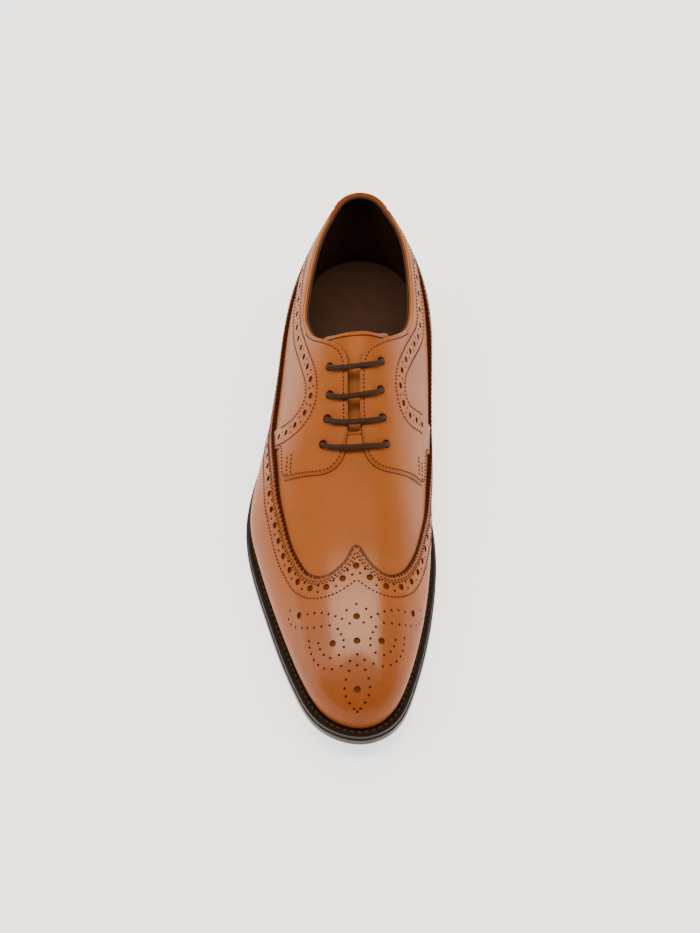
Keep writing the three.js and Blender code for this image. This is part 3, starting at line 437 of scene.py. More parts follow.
def inside(points, loop):
    """Which points lie in a closed line, by the number of its edges that a ray crosses."""
    found = np.zeros(len(points), bool)
    a, b = loop, np.roll(loop, -1, 0)
    for part in np.array_split(np.arange(len(points)), max(1, len(points) // 2000)):
        x, y = points[part, :1], points[part, 1:]
        spans = (a[:, 1] > y) != (b[:, 1] > y)
        rise = b[:, 1] - a[:, 1]
        at = a[:, 0] + (y - a[:, 1]) * (b[:, 0] - a[:, 0]) / np.where(rise == 0, 1, rise)
        found[part] = (spans & (x < at)).sum(1) % 2 == 1
    return found


def nearest(points, others):
    """Distance from each point to the nearest of the others."""
    found = np.empty(len(points))
    for part in np.array_split(np.arange(len(points)), max(1, len(points) // 1000)):
        square = ((points[part] ** 2).sum(1)[:, None] + (others**2).sum(1)
                  - 2 * points[part] @ others.T)
        found[part] = np.sqrt(np.maximum(square.min(1), 0))
    return found


# Meshes

def put_mesh(name, points, faces, soft_angle=40.0, **values):
    """A mesh object from points in millimetres and arrays of faces, with named point values."""
    mesh = bpy.data.meshes.new(name)
    groups = [np.asarray(f, np.int32) for f in (faces if isinstance(faces, list) else [faces])]
    corners = np.concatenate([g.ravel() for g in groups])
    sizes = np.concatenate([np.full(len(g), g.shape[1], np.int32) for g in groups])
    starts = np.append(0, np.cumsum(sizes)[:-1]).astype(np.int32)
    mesh.vertices.add(len(points))
    mesh.vertices.foreach_set("co", (np.asarray(points) * MM).astype(np.float32).ravel())
    mesh.loops.add(len(corners))
    mesh.loops.foreach_set("vertex_index", corners)
    mesh.polygons.add(len(sizes))
    mesh.polygons.foreach_set("loop_start", starts)
    for key, value in values.items():
        layer = mesh.attributes.new(key, "FLOAT", "POINT")
        layer.data.foreach_set("value", np.asarray(value, np.float32))
    mesh.update(calc_edges=True)
    mesh.validate()
    mesh.shade_smooth()
    mesh.set_sharp_from_angle(angle=math.radians(soft_angle))
    piece = bpy.data.objects.new(name, mesh)
    bpy.context.scene.collection.objects.link(piece)
    return piece


def dress(piece, finish, replaces=()):
    piece.data.materials.append(finish)
    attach(piece, "root")
    if replaces:
        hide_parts(*replaces)
    return piece


def form_grid(stations=110, steps=20):
    """Even points of the flat pattern, along section lines."""
    shares = np.linspace(0.004, 0.996, stations)
    t, part = np.meshgrid(shares, np.linspace(0.004, 0.97, steps), indexing="ij")
    angle = part.ravel() * math.pi / 2
    sides = [pattern_point(side, t.ravel(), angle) for side in (LATERAL, MEDIAL)]
    return np.vstack([*sides, CRESTS[::18]])


# Distances between the points of a panel, and how far they keep from a hole in shares of its
# radius.
POINT_GAP = 1.1
ROW_GAP = 0.9
CLEAR_OF_HOLE = 1.6
ROW_CLEAR_OF_HOLE = 1.15
IN_CUP = 0.985
RING_SPREAD = 1.3
# The floor of a cup as a share of the wall, how far the look of a cut edge reaches, and how near
# a ring a point belongs to it.
CUP_FLOOR = 0.25
EDGE_FADE = 1.2
AT_RING = 0.25


def covered(flat, within, without):
    """Which points lie in every line of within and in none of without."""
    keep = np.ones(len(flat), bool)
    for line in within:
        keep &= inside(flat, line)
    for line in without:
        keep &= ~inside(flat, line)
    return keep


def hole_finder(holes):
    """A function that says which points lie in a hole, out to a share of its radius."""
    if not holes:
        return lambda flat, margin: np.zeros(len(flat), bool)
    middles = np.vstack([centres for centres, _, _ in holes])
    reach = np.concatenate([np.full(len(centres), radius) for centres, radius, _ in holes])
    roots = np.linalg.cholesky(stretch(middles))

    def in_hole(flat, margin):
        off = np.einsum("hji,nhj->nhi", roots, flat[:, None] - middles)
        return (np.linalg.norm(off, axis=2) < reach * margin).any(1)

    return in_hole


def cut_out(within, without, holes, trims, rows_in, punched):
    """Points and triangles of a panel on the flat pattern, and which triangles lie in a hole. It
    is triangulated between its lines, the rings of its holes, rows of points beside the trims,
    wider rings round the punched ones, and even points."""
    in_hole = hole_finder(holes)
    fixed = [*within, *without]
    for centres, radius, sides in holes:
        fixed += list(circles(centres, radius, sides))
    counts = np.array([len(line) for line in fixed])
    starts = np.append(0, np.cumsum(counts)[:-1])
    points = np.vstack(fixed)
    edges = np.vstack([np.stack([np.arange(n), (np.arange(n) + 1) % n], 1) + start
                       for n, start in zip(counts, starts)])
    extra = form_grid()
    extra = extra[covered(extra, within, without)]
    extra = extra[~in_hole(extra, CLEAR_OF_HOLE)]
    extra = extra[nearest(on_last(extra)[0], on_last(points)[0]) > POINT_GAP]
    near = [shifted(line, way * row) for line in trims for row in rows_in for way in (1, -1)]
    near += [ring.mean(0) + (ring - ring.mean(0)) * RING_SPREAD for ring in punched]
    if near:
        near = np.vstack(near)
        near = near[covered(near, within, without)]
        near = near[~in_hole(near, ROW_CLEAR_OF_HOLE)]
        near = near[nearest(on_last(near)[0], on_last(points)[0]) > rows_in[0] * 0.8]
        if len(extra):
            extra = extra[nearest(on_last(extra)[0], on_last(near)[0]) > ROW_GAP]
        points = np.vstack([points, near])
    points = np.vstack([points, extra])
    flat, _, cells, _, _, _ = delaunay_2d_cdt(points.tolist(), edges.tolist(), [], 0, 1e-5)
    flat, cells = np.array(flat), np.array(cells)[:, ::-1]
    middle = flat[cells].mean(1)
    kept = covered(middle, within, without)
    cells, middle = cells[kept], middle[kept]
    used, cells = np.unique(cells, return_inverse=True)
    return flat[used], cells.reshape(-1, 3), in_hole(middle, IN_CUP)


def panel(name, within, without=(), base=0.0, wall=OVERLAY_WALL, holes=(), rounding=0.5,
          drop=0.3, trims=(), rows_in=(0.55, 1.6), stains=(), punched=()):
    """A sheet cut from the flat pattern and lasted. It covers what is in every line of within and
    in none of without. Its top face lies at base plus wall above the last, less a drop that
    grows towards its cut edges, and each of holes, as centres, radius and sides, is a cup. Its
    top is marked dark along each given line by its width: the callers use this as edge dye on
    the wing and as painted shadow beside overlapping edges on the upper and the facings. The
    walls of the punched rings are marked dark too, as painted shade in the eyelets."""
    flat, cells, cup = cut_out(within, without, holes, trims, rows_in, punched)
    count = len(flat)
    low, wall = (v(flat) if callable(v) else np.full(count, float(v)) for v in (base, wall))
    place, out = on_last(flat)
    rim = open_edges(cells)
    to_edge = nearest(place, place[np.unique(rim)])
    high = low + wall - drop * np.maximum(0, 1 - to_edge / rounding) ** 2
    top, bottom = place + out * high[:, None], place + out * low[:, None]
    floor_of = np.unique(cells[cup])
    floor = place[floor_of] + out[floor_of] * (low + wall * CUP_FLOOR)[floor_of, None]
    at_floor = np.full(count, -1)
    at_floor[floor_of] = np.arange(len(floor_of)) + 2 * count
    a, b = rim.T
    faces = [cells[~cup], cells[:, ::-1] + count, at_floor[cells[cup]],
             np.stack([b, a, a + count], 1), np.stack([b, a + count, b + count], 1)]
    if cup.any():
        a, b = open_edges(cells[cup]).T
        faces.append(np.stack([a, b, at_floor[b]], 1))
        faces.append(np.stack([a, at_floor[b], at_floor[a]], 1))
    points = np.vstack([top, bottom, floor])
    at_rings = [np.flatnonzero(nearest(place, on_last(ring)[0]) < AT_RING) for ring in punched]
    plain = np.setdiff1d(rim, np.concatenate(at_rings)) if at_rings else np.unique(rim)
    cut = np.exp(-nearest(place, place[plain]) / EDGE_FADE)
    cut = np.concatenate([cut, np.ones(count), np.zeros(len(floor_of))])
    hole = np.concatenate([np.zeros(2 * count), np.ones(len(floor_of))])
    # Dark mark: edge dye and painted shadow along the given lines, as each caller sets them, and
    # painted shade on the walls of the punched rings.
    stain = np.zeros(len(points))
    for line, width in stains:
        stain[:count] = np.maximum(stain[:count], nearest(place, on_last(line)[0]) < width)
    # Painted shade: the walls of the punched eyelet rings are marked dark.
    for at_ring in at_rings:
        stain[at_ring] = stain[at_ring + count] = 1
        cut[at_ring + count] = 0
    return put_mesh(name, points, np.vstack(faces), edge=cut, hole=hole, stain=stain)


def open_edges(cells):
    """Edges that only one triangle has, in that triangle's direction."""
    pairs = np.vstack([cells[:, [0, 1]], cells[:, [1, 2]], cells[:, [2, 0]]])
    size = pairs.max() + 1
    key = pairs[:, 0] * size + pairs[:, 1]
    back = pairs[:, 1] * size + pairs[:, 0]
    return pairs[~np.isin(key, back)]


# Lines of the flat pattern

def knotted(points, first, last, step):
    """The smooth line through points, read between two of them."""
    knots = np.append(0, np.cumsum(np.sqrt(np.hypot(*np.diff(points, axis=0).T))))
    u = np.linspace(knots[first], knots[last], 1500)
    return even_steps(np.stack([spline(knots, c)(u) for c in points.T], 1), step)


RIM = np.vstack([body_edge[LATERAL][:-1:6], body_edge[MEDIAL][:0:-6]])


def flat_points(table, side):
    """A table's row of points on one side of the pattern. The medial side may lie further back."""
    across = table["lateral"] if side == LATERAL else table["medial"]
    back = table["back"] if side == MEDIAL and "back" in table else 0
    return np.stack([side * across * BALL_WIDTH, station_of(table["at"] - back)], 1)


def wing_line(step=0.5):
    both = np.vstack([flat_points(WING_EDGE, LATERAL), flat_points(WING_EDGE, MEDIAL)[-2:0:-1]])
    return closed_spline(both, step)


def wing_half(side):
    """One side of the wing's edge, from the heel to the point over the toes."""
    both = np.vstack([flat_points(WING_EDGE, side), flat_points(WING_EDGE, -side)[-2:-5:-1]])
    return knotted(both, 1, len(WING_EDGE["at"]) - 1, 0.4)


def gimped(line, pitch, depth):
    """A closed line with pinked teeth: a triangle wave over its true length."""
    teeth = true_steps(line, pitch / 4, closed=True)
    teeth = teeth[:len(teeth) // 4 * 4]
    wave = np.array([0, 0.5, 1, 0.5])[np.arange(len(teeth)) % 4]
    return shifted(teeth, -depth * wave)


def topline(side, count=260):
    """Where the section lines rise past the collar's height, as points of the pattern."""
    t = np.linspace(0, 0.5, count)[:, None]
    angle = np.linspace(0.2, math.pi / 2, 900)[None]
    place = form_point(side, t + 0 * angle, angle + 0 * t)
    above = place[..., 2] - topline_height(share_of(CENTRE_S - place[..., 1]))
    first = np.argmax(above > 0, axis=1)
    row = np.flatnonzero((above > 0).any(1) & (first > 0))
    first = first[row]
    before, after = above[row, first - 1], above[row, first]
    at = angle[0, first - 1] - before / (after - before) * (angle[0, 1] - angle[0, 0])
    line = pattern_point(side, t[row, 0], at)
    share = share_of(line[:, 1])
    past = (share > COLLAR_END) | ((share > 0.3)
                                   & (side * (line[:, 0] - lacing_side(share)) < THROAT_HALF))
    return line[:np.argmax(past)] if past.any() else line


def collar_line(step=0.9, softness=7):
    """The collar and throat as one closed line, its corners softened by a running mean."""
    sides = {}
    for side in (LATERAL, MEDIAL):
        slot = np.array([[lacing_side(v) + side * THROAT_HALF, station_of(v)]
                         for v in (*THROAT_STEPS, THROAT_END)])
        back = topline(side)
        back = back[share_of(back[:, 1]) < COLLAR_FRONT["at"][0] - COLLAR_BLEND]
        front = np.vstack([back[-1:], flat_points(COLLAR_FRONT, side), slot[:1]])
        front = knotted(front, 0, len(front) - 1, 0.6)
        sides[side] = np.vstack([back, front[1:-1], slot])
    loop = np.vstack([sides[LATERAL], sides[MEDIAL][::-1][:-1]])
    line = even_steps(np.vstack([loop, loop[:1]]), step / 3)[:-1]
    weights = np.hanning(2 * softness + 3)[1:-1]
    wrapped = np.vstack([line[-softness:], line, line[:softness]])
    soft = np.stack([np.convolve(c, weights / weights.sum(), "valid") for c in wrapped.T], 1)
    return true_steps(soft, step, closed=True)


def facing_line(side, step=0.6):
    outer = flat_points(FACING_EDGE, side)
    inner = np.stack([FACING_INNER["side"] * BALL_WIDTH, station_of(FACING_INNER["at"])], 1)
    return closed_spline(np.vstack([outer, inner]), step)


def facing_row(side, first, last, distance):
    """A row beside part of the facing's outer edge, inside its leather."""
    line = knotted(flat_points(FACING_EDGE, side), first, last, 0.4)
    return shifted(line, side * distance, closed=False)


def strip_sides(distance=0.0):
    """The back strip's two edges, from its foot to its top."""
    edges = {side: knotted(flat_points(STRIP_EDGE, side), 0, len(STRIP_EDGE["at"]) - 1, 0.6)
             for side in (LATERAL, MEDIAL)}
    return {side: line - [side * distance, 0] for side, line in edges.items()}


def eyelet_rings():
    centres = np.vstack([flat_points(EYELETS, side) for side in (LATERAL, MEDIAL)])
    return list(circles(centres, sizes().eyelet_diameter / MM / 2, 20))


def tongue_line(step=0.8):
    lateral, medial = flat_points(TONGUE_EDGE, LATERAL), flat_points(TONGUE_EDGE, MEDIAL)
    return closed_spline(np.vstack([lateral, medial[:0:-1]]), step)


def tongue_depth(flat):
    """How far the tongue's top lies under the last's surface: it rises to the vamp at its seam."""
    laced = UPPER_WALL + sizes().lace_diameter / MM + 2 * LACE_CLEARANCE
    part = (share_of(flat[:, 1]) - TONGUE_RISES_FROM) / (TONGUE_SEATED_AT - TONGUE_RISES_FROM)
    part = np.clip(part, 0, 1)
    return laced + (UPPER_WALL + GAP - laced) * part * part * (3 - 2 * part)


def wing_peak():
    return (flat_points(WING_EDGE, LATERAL)[-1] + flat_points(WING_EDGE, MEDIAL)[-1]) / 2


def wing_row(side, distance):
    """A row beside the wing's edge, from the middle outwards: it starts where it meets the
    other side's row under the point, and stops at the back strip."""
    line = shifted(wing_half(side), -side * distance, closed=False)
    line = line[side * (line[:, 0] - wing_peak()[0]) > 0][::-1]
    back = strip_sides(-1.5)[side]
    return line[(line[:, 1] > 60) | (side * (line[:, 0] - back[:, 0].mean()) > 0)]


# Medallion over the toes, in millimetres of the pattern from its middle hole. Each row is a
# smooth curve through a few points, with a number of evenly spaced holes, and is mirrored.
MEDALLION_MIDDLE = (-1.3, 259.5)
MEDALLION_SLANT = 0.1
MEDALLION_WIDTH = 0.97
MEDALLION_ROWS = (
    (6, ((4.6, -11.7), (9.3, -15.7), (13.7, -18.0), (16.6, -18.9))),
    (4, ((24.7, -25.8), (26.0, -22.8), (24.8, -19.0), (22.5, -16.2))),
    (5, ((19.4, -13.7), (16.4, -12.0), (12.4, -10.6), (8.6, -9.7))),
    (9, ((6.0, -7.1), (4.2, -1.4), (4.9, 3.6), (8.4, 4.6), (11.7, 1.0), (12.7, -3.1))),
    (9, ((16.5, -5.8), (16.0, -0.5), (13.7, 5.0), (9.0, 8.4), (4.6, 7.9), (2.3, 6.9))),
    (6, ((2.5, 9.8), (3.9, 13.5), (3.9, 17.6), (2.4, 21.1), (1.2, 23.0))),
)
MEDALLION_SMALL = ((0.0, -18.5), (0.0, 5.2), (0.0, 8.3), (0.0, 24.3), (3.1, -15.7), (-3.1, -15.7),
                   (2.2, -8.8), (-2.2, -8.8))
MEDALLION_BIG = ((0.0, -12.2), (0.0, 0.0), (0.0, 15.6), (-7.7, -1.0), (7.7, -1.0),
                 (-20.3, -20.5), (20.3, -20.5))


def medallion():
    """Centres of the medallion's big and small holes on the pattern."""
    small = [np.array(MEDALLION_SMALL)]
    for count, points in MEDALLION_ROWS:
        line = knotted(np.array(points), 0, len(points) - 1, 0.1)
        line = line[np.linspace(0, len(line) - 1, count).round().astype(int)]
        small += [line, line * [-1, 1]]
    found = []
    for holes in (np.array(MEDALLION_BIG), np.vstack(small)):
        slant = -MEDALLION_SLANT * np.maximum(0, holes[:, 0])
        holes = holes * [MEDALLION_WIDTH, 1]
        found.append(holes + MEDALLION_MIDDLE + np.stack([0 * slant, slant], 1))
    return found


def paired(marks):
    """Small holes in pairs across a row, one pair halfway between two big holes."""
    spread = sizes().brogue_spread / MM
    return np.vstack([shifted(marks, way * spread, closed=False)[1::2] for way in (1, -1)])


def wing_wall(flat):
    """The wing's thickness: most along the waist, where its edge is turned and doubled."""
    doubled = np.interp(share_of(flat[:, 1]), (0.1, 0.22, 0.5, 0.64), (0, 1, 1, 0))
    return WING_WALL + WAIST_THICKER * doubled


def wing_holes():
    big, small = medallion()
    big, small = [big], [small]
    for side in (LATERAL, MEDIAL):
        marks = true_steps(wing_row(side, sizes().wing_band / MM), sizes().brogue_pitch / MM / 2)
        big.append(marks[::2] if side == LATERAL else marks[2::2])
        small.append(paired(marks))
    return np.vstack(big), np.vstack(small)


def facing_holes(side):
    line = facing_row(side, *BAND_ROWS, sizes().facing_band / MM)[::-1]
    opening = shifted(wing_line(), -2.0)
    marks = true_steps(line[inside(line, opening)], sizes().brogue_pitch / MM / 2)
    return marks[::2], paired(marks)


# Seams

# The wing's seams, as distances from its edge: two close together and one past its band.
WING_SEAMS = (1.6, 2.8, 10.3)

# Rows of the facing's table between which its band and its tab's seam run.
BAND_ROWS = (1, 13)
TAB_ROWS = (17, 26)
TACK_ROWS = (18, 19)
TACK_LENGTH = 10.5
TACK_GAP = 1.8


def strip_loop(margin=0.0):
    """The back strip as a closed line, carried past its top and its foot."""
    edges = strip_sides(-margin)
    ends = {side: np.vstack([[line[0] - [0, 12]], line, [line[-1] + [0, 12]]])
            for side, line in edges.items()}
    return np.vstack([ends[LATERAL], ends[MEDIAL][::-1]])


def bar_tacks(side):
    """Two short rows of stitches that hold the tab down at its outer corner."""
    corner = facing_row(side, *TACK_ROWS, 5.0)[-1]
    tacks = []
    for aside in (0.0, TACK_GAP):
        start = corner + [-side * aside, 3.0]
        tacks.append(np.stack([start, start - [0, TACK_LENGTH]]))
    return [even_steps(tack, 0.5) for tack in tacks]


def split_at(line, gap):
    """A row cut where its points lie further apart than a gap."""
    far = np.linalg.norm(np.diff(line, axis=0), axis=1) > gap
    return [part for part in np.split(line, np.flatnonzero(far) + 1) if len(part) > 4]


# Threads and cords

def sewn(name, rows_, lift, finish, pitch=None, closed=False):
    """A thread's visible stitches along lines of the pattern."""
    pitch = pitch or sizes().stitch_pitch / MM
    middles, along, outs = [], [], []
    for row in rows_:
        row = true_steps(row, pitch, closed)
        if closed:
            row = np.vstack([row, row[:1]])
        place, out = on_last(row)
        place = place + out * np.reshape(lift(row) if callable(lift) else lift, (-1, 1))
        middles.append((place[1:] + place[:-1]) / 2)
        along.append(place[1:] - place[:-1])
        outs.append((out[1:] + out[:-1]) / 2)
    return sew(name, np.vstack(middles), np.vstack(along), np.vstack(outs), pitch * 0.7,
               sizes().thread / MM, finish)


def sew(name, middles, along, outs, length, width, finish):
    """Small rounded bars: four rings of six points, the end ones smaller and pulled in, carried to
    each place by its tangent, its direction out and their cross product, all at once."""
    sides = 6
    along = along / np.linalg.norm(along, axis=1)[:, None]
    across = np.cross(outs, along)
    across /= np.linalg.norm(across, axis=1)[:, None]
    outs = np.cross(along, across)
    reach = np.array([-0.5, -0.32, 0.32, 0.5]) * length
    size = np.array([0.45, 1, 1, 0.45]) * width / 2
    dip = np.array([-0.5, 0, 0, -0.5]) * width
    turn = np.arange(sides) * 2 * math.pi / sides
    local = np.stack([np.repeat(reach, sides), (size[:, None] * np.cos(turn)).ravel(),
                      (size[:, None] * np.sin(turn) + dip[:, None]).ravel()], 1)
    axes = np.stack([along, across, outs], 1)
    points = middles[:, None] + np.einsum("pk,nkj->npj", local, axes)
    k = np.arange(sides)
    next_k = (k + 1) % sides
    quads = np.vstack([np.stack([k, next_k, next_k + sides, k + sides], 1) + sides * r
                       for r in range(3)])
    caps = np.stack([k[::-1], k + 3 * sides])
    move = (np.arange(len(middles)) * 4 * sides)[:, None, None]
    piece = put_mesh(name, points.reshape(-1, 3), [(quads + move).reshape(-1, 4),
                                                   (caps + move).reshape(-1, sides)], 80)
    return dress(piece, finish)


def tube(name, path, radius, sides, finish, replaces=()):
    """A round cord along a path: rings across its tangents, turned as little as possible from
    one to the next, with rounded ends. Lengths along and round it are kept as point values."""
    tangents = np.gradient(path, axis=0)
    tangents /= np.linalg.norm(tangents, axis=1)[:, None]
    spoke = np.cross(tangents[0], [0.0, 0.3, 1.0])
    spokes = np.empty_like(path)
    for i, tangent in enumerate(tangents):
        spoke = spoke - tangent * (spoke @ tangent)
        spoke /= np.linalg.norm(spoke)
        spokes[i] = spoke
    turn = np.arange(sides) * 2 * math.pi / sides
    other = np.cross(tangents, spokes)
    ring = spokes[:, None] * np.cos(turn)[:, None] + other[:, None] * np.sin(turn)[:, None]
    size = np.full(len(path), radius)
    size[[0, -1]] *= 0.4
    size[[1, -2]] *= 0.85
    points = (path[:, None] + ring * size[:, None, None]).reshape(-1, 3)
    k, n = np.arange(sides), len(path)
    a = ((np.arange(n - 1) * sides)[:, None] + k).ravel()
    b = ((np.arange(n - 1) * sides)[:, None] + (k + 1) % sides).ravel()
    quads = np.stack([a, b, b + sides, a + sides], 1)
    caps = np.stack([k[::-1], k + (n - 1) * sides])
    reach = np.append(0, np.cumsum(np.linalg.norm(np.diff(path, axis=0), axis=1)))
    piece = put_mesh(name, points, [quads, caps], 60, along=np.repeat(reach, sides),
                     around=np.tile(turn, n))
    return dress(piece, finish, replaces)


def rounded_path(points, times=3):
    """A path with its corners cut, each time at a quarter and three quarters of every length."""
    for _ in range(times):
        a, b = points[:-1], points[1:]
        cut = np.stack([a * 0.75 + b * 0.25, a * 0.25 + b * 0.75], 1).reshape(-1, 3)
        points = np.vstack([points[:1], cut, points[-1:]])
    return points


# Stops of the lace: pair of eyelets, side, and whether it leaves over the facings or under them,
# with the lane that it keeps to.
LACE_ROUTE = (
    (0, LATERAL, "bar", 0), (0, MEDIAL, "run", 1), (2, MEDIAL, "bar", 0), (2, LATERAL, "run", 0),
    (3, LATERAL, "bar", 0), (3, MEDIAL, "run", -1), (1, MEDIAL, "bar", 0), (1, LATERAL, "run", 0),
)
LACE_END = 0.72


def lace_path():
    """The lace's middle line. A bar runs straight from eyelet to eyelet over the facings and sags
    towards the toe; a run goes on under them."""
    radius = sizes().lace_diameter / MM / 2
    over = OVERLAY_WALL + radius + GAP
    under = -(UPPER_WALL + radius + LACE_CLEARANCE)
    spot = {side: flat_points(EYELETS, side) for side in (LATERAL, MEDIAL)}
    flat, lift = [spot[LATERAL][0]], [under]
    for i, (pair, side, way, lane) in enumerate(LACE_ROUTE):
        start = spot[side][pair]
        last = i + 1 == len(LACE_ROUTE)
        stop = spot[LATERAL][0] if last else spot[LACE_ROUTE[i + 1][1]][LACE_ROUTE[i + 1][0]]
        if way == "bar":
            part = np.linspace(0, 1, 13)
            sag = sizes().lace_sag / MM * np.sin(math.pi * part) ** 0.6
            flat += list(start + (stop - start) * part[:, None] + np.stack([0 * part, sag], 1))
            lift += list(over - 0.8 * np.abs(2 * part - 1) ** 8)
            continue
        parts = (0.0, LACE_END) if last else (0.0, 0.25, 0.75, 1.0)
        for part in parts:
            aside = side * lane * LACE_LANE / 2 if 0 < part < 1 and not last else 0
            flat.append(start + (stop - start) * part + [aside, 0])
            lift.append(under)
    place, out = on_last(np.array(flat))
    return rounded_path(place + out * np.array(lift)[:, None])


# Bottom

def above(height):
    return lambda s: sole_rise(s) + height


def layered(name, rings, until=1.0, soft_angle=35.0, hollow=False, stations=200):
    """A body between rings, each one an outline and a height at every station, from the lowest,
    outwards and up. Straight rungs across the first and the last ring close it or, when it is
    hollow, its last ring is joined to the first."""
    t = np.linspace(0, until, stations)
    lateral, medial = t, t[-2 if until == 1 else -1:0:-1]
    stack = []
    for sides, height in rings:
        flat = np.vstack([track(sides, LATERAL, lateral), track(sides, MEDIAL, medial)])
        z = height(flat[:, 1]) if callable(height) else np.full(len(flat), float(height))
        stack.append(np.stack([flat[:, 0] - CENTRE_X, CENTRE_S - flat[:, 1], z], 1))
    count, n = len(stack[0]), len(stack)
    i = np.arange(count)
    j = (i + 1) % count
    quads = []
    for k in range(n if hollow else n - 1):
        a, b = k * count, (k + 1) % n * count
        quads.append(np.stack([i + a, j + a, j + b, i + b], 1))
    faces = [np.vstack(quads)]
    if not hollow:
        near = np.arange(1, stations - (2 if until == 1 else 1))
        rungs = np.stack([near, near + 1, count - near - 1, count - near], 1)
        ends = np.array([[0, 1, count - 1]])
        if until == 1:
            ends = np.vstack([ends, [[stations - 2, stations - 1, stations]]])
        top = (n - 1) * count
        faces += [rungs[:, ::-1], ends[:, ::-1], rungs + top, ends + top]
    return put_mesh(name, np.vstack(stack), faces, soft_angle)


def breast_share():
    along = (sole_edge[LATERAL][:, 1] + sole_edge[MEDIAL][:, 1]) / 2
    return float(np.interp(HEEL_BREAST, along[:SAMPLES // 2], SHARES[:SAMPLES // 2]))


# Looks

class Value:
    """A shader socket. Arithmetic on it adds maths nodes."""

    def __init__(self, look, socket):
        self.look, self.socket = look, socket

    def __add__(self, other):
        return self.look.maths("ADD", self, other)

    def __sub__(self, other):
        return self.look.maths("SUBTRACT", self, other)

    def __rsub__(self, other):
        return self.look.maths("SUBTRACT", other, self)

    def __mul__(self, other):
        return self.look.maths("MULTIPLY", self, other)

    __radd__, __rmul__ = __add__, __mul__

    def ramp(self, low, high, bottom=0.0, top=1.0):
        """Goes softly from bottom to top while the value goes from low to high."""
        return self.look.node("ShaderNodeMapRange", {"interpolation_type": "SMOOTHSTEP"},
                              {0: self, 1: low, 2: high, 3: bottom, 4: top})


class Look:
    """A material, written as arithmetic on the outputs of its nodes."""

    def __init__(self, name, **uniform):
        self.material = bpy.data.materials.new(name)
        self.material.use_nodes = True
        self.tree = self.material.node_tree
        self.shader = self.tree.nodes["Principled BSDF"]
        for key, value in uniform.items():
            self.shader.inputs[key.replace("_", " ").title()].default_value = value

    def dull(self, level):
        """Sets how strongly the surface mirrors."""
        self.shader.inputs["Specular IOR Level"].default_value = level
        return self

    def node(self, kind, settings=None, inputs=None, output=0):
        made = self.tree.nodes.new(kind)
        for key, value in (settings or {}).items():
            setattr(made, key, value)
        for key, value in (inputs or {}).items():
            if isinstance(value, Value):
                self.tree.links.new(value.socket, made.inputs[key])
            else:
                made.inputs[key].default_value = value
        return Value(self, made.outputs[output])

    def maths(self, operation, *values):
        return self.node("ShaderNodeMath", {"operation": operation}, dict(enumerate(values)))

    def place(self):
        return self.node("ShaderNodeTexCoord", output="Object")

    def axis(self, name):
        return self.node("ShaderNodeSeparateXYZ", inputs={0: self.place()}, output=name)

    def noise(self, scale, detail=2.0, rough=0.5):
        """Noise with features of one part in scale of a metre."""
        return self.node("ShaderNodeTexNoise", inputs={
            "Vector": self.place(), "Scale": scale, "Detail": detail, "Roughness": rough})

    def point_value(self, name):
        return self.node("ShaderNodeAttribute", {"attribute_name": name}, output="Fac")

    def mix(self, part, first, second):
        """A colour between two, by a share."""
        return self.node("ShaderNodeMix", {"data_type": "RGBA"}, {0: part, 6: first, 7: second}, 2)

    def bump(self, height, depth, strength=1.0):
        return self.node("ShaderNodeBump", inputs={
            "Height": height, "Distance": depth, "Strength": strength}, output=0)

    def give(self, **inputs):
        for key, value in inputs.items():
            self.tree.links.new(value.socket, self.shader.inputs[key.replace("_", " ").title()])
        return self.material


def shade(colour, factor):
    return tuple(c * factor for c in colour[:3]) + (1.0,)


# A dark brown used as dye on the wing's cut edge, and as painted shade and painted shadow in holes,
# in eyelets and beside overlapping edges.
EDGE_DYE_AND_SHADE = (0.070, 0.016, 0.005, 1.0)


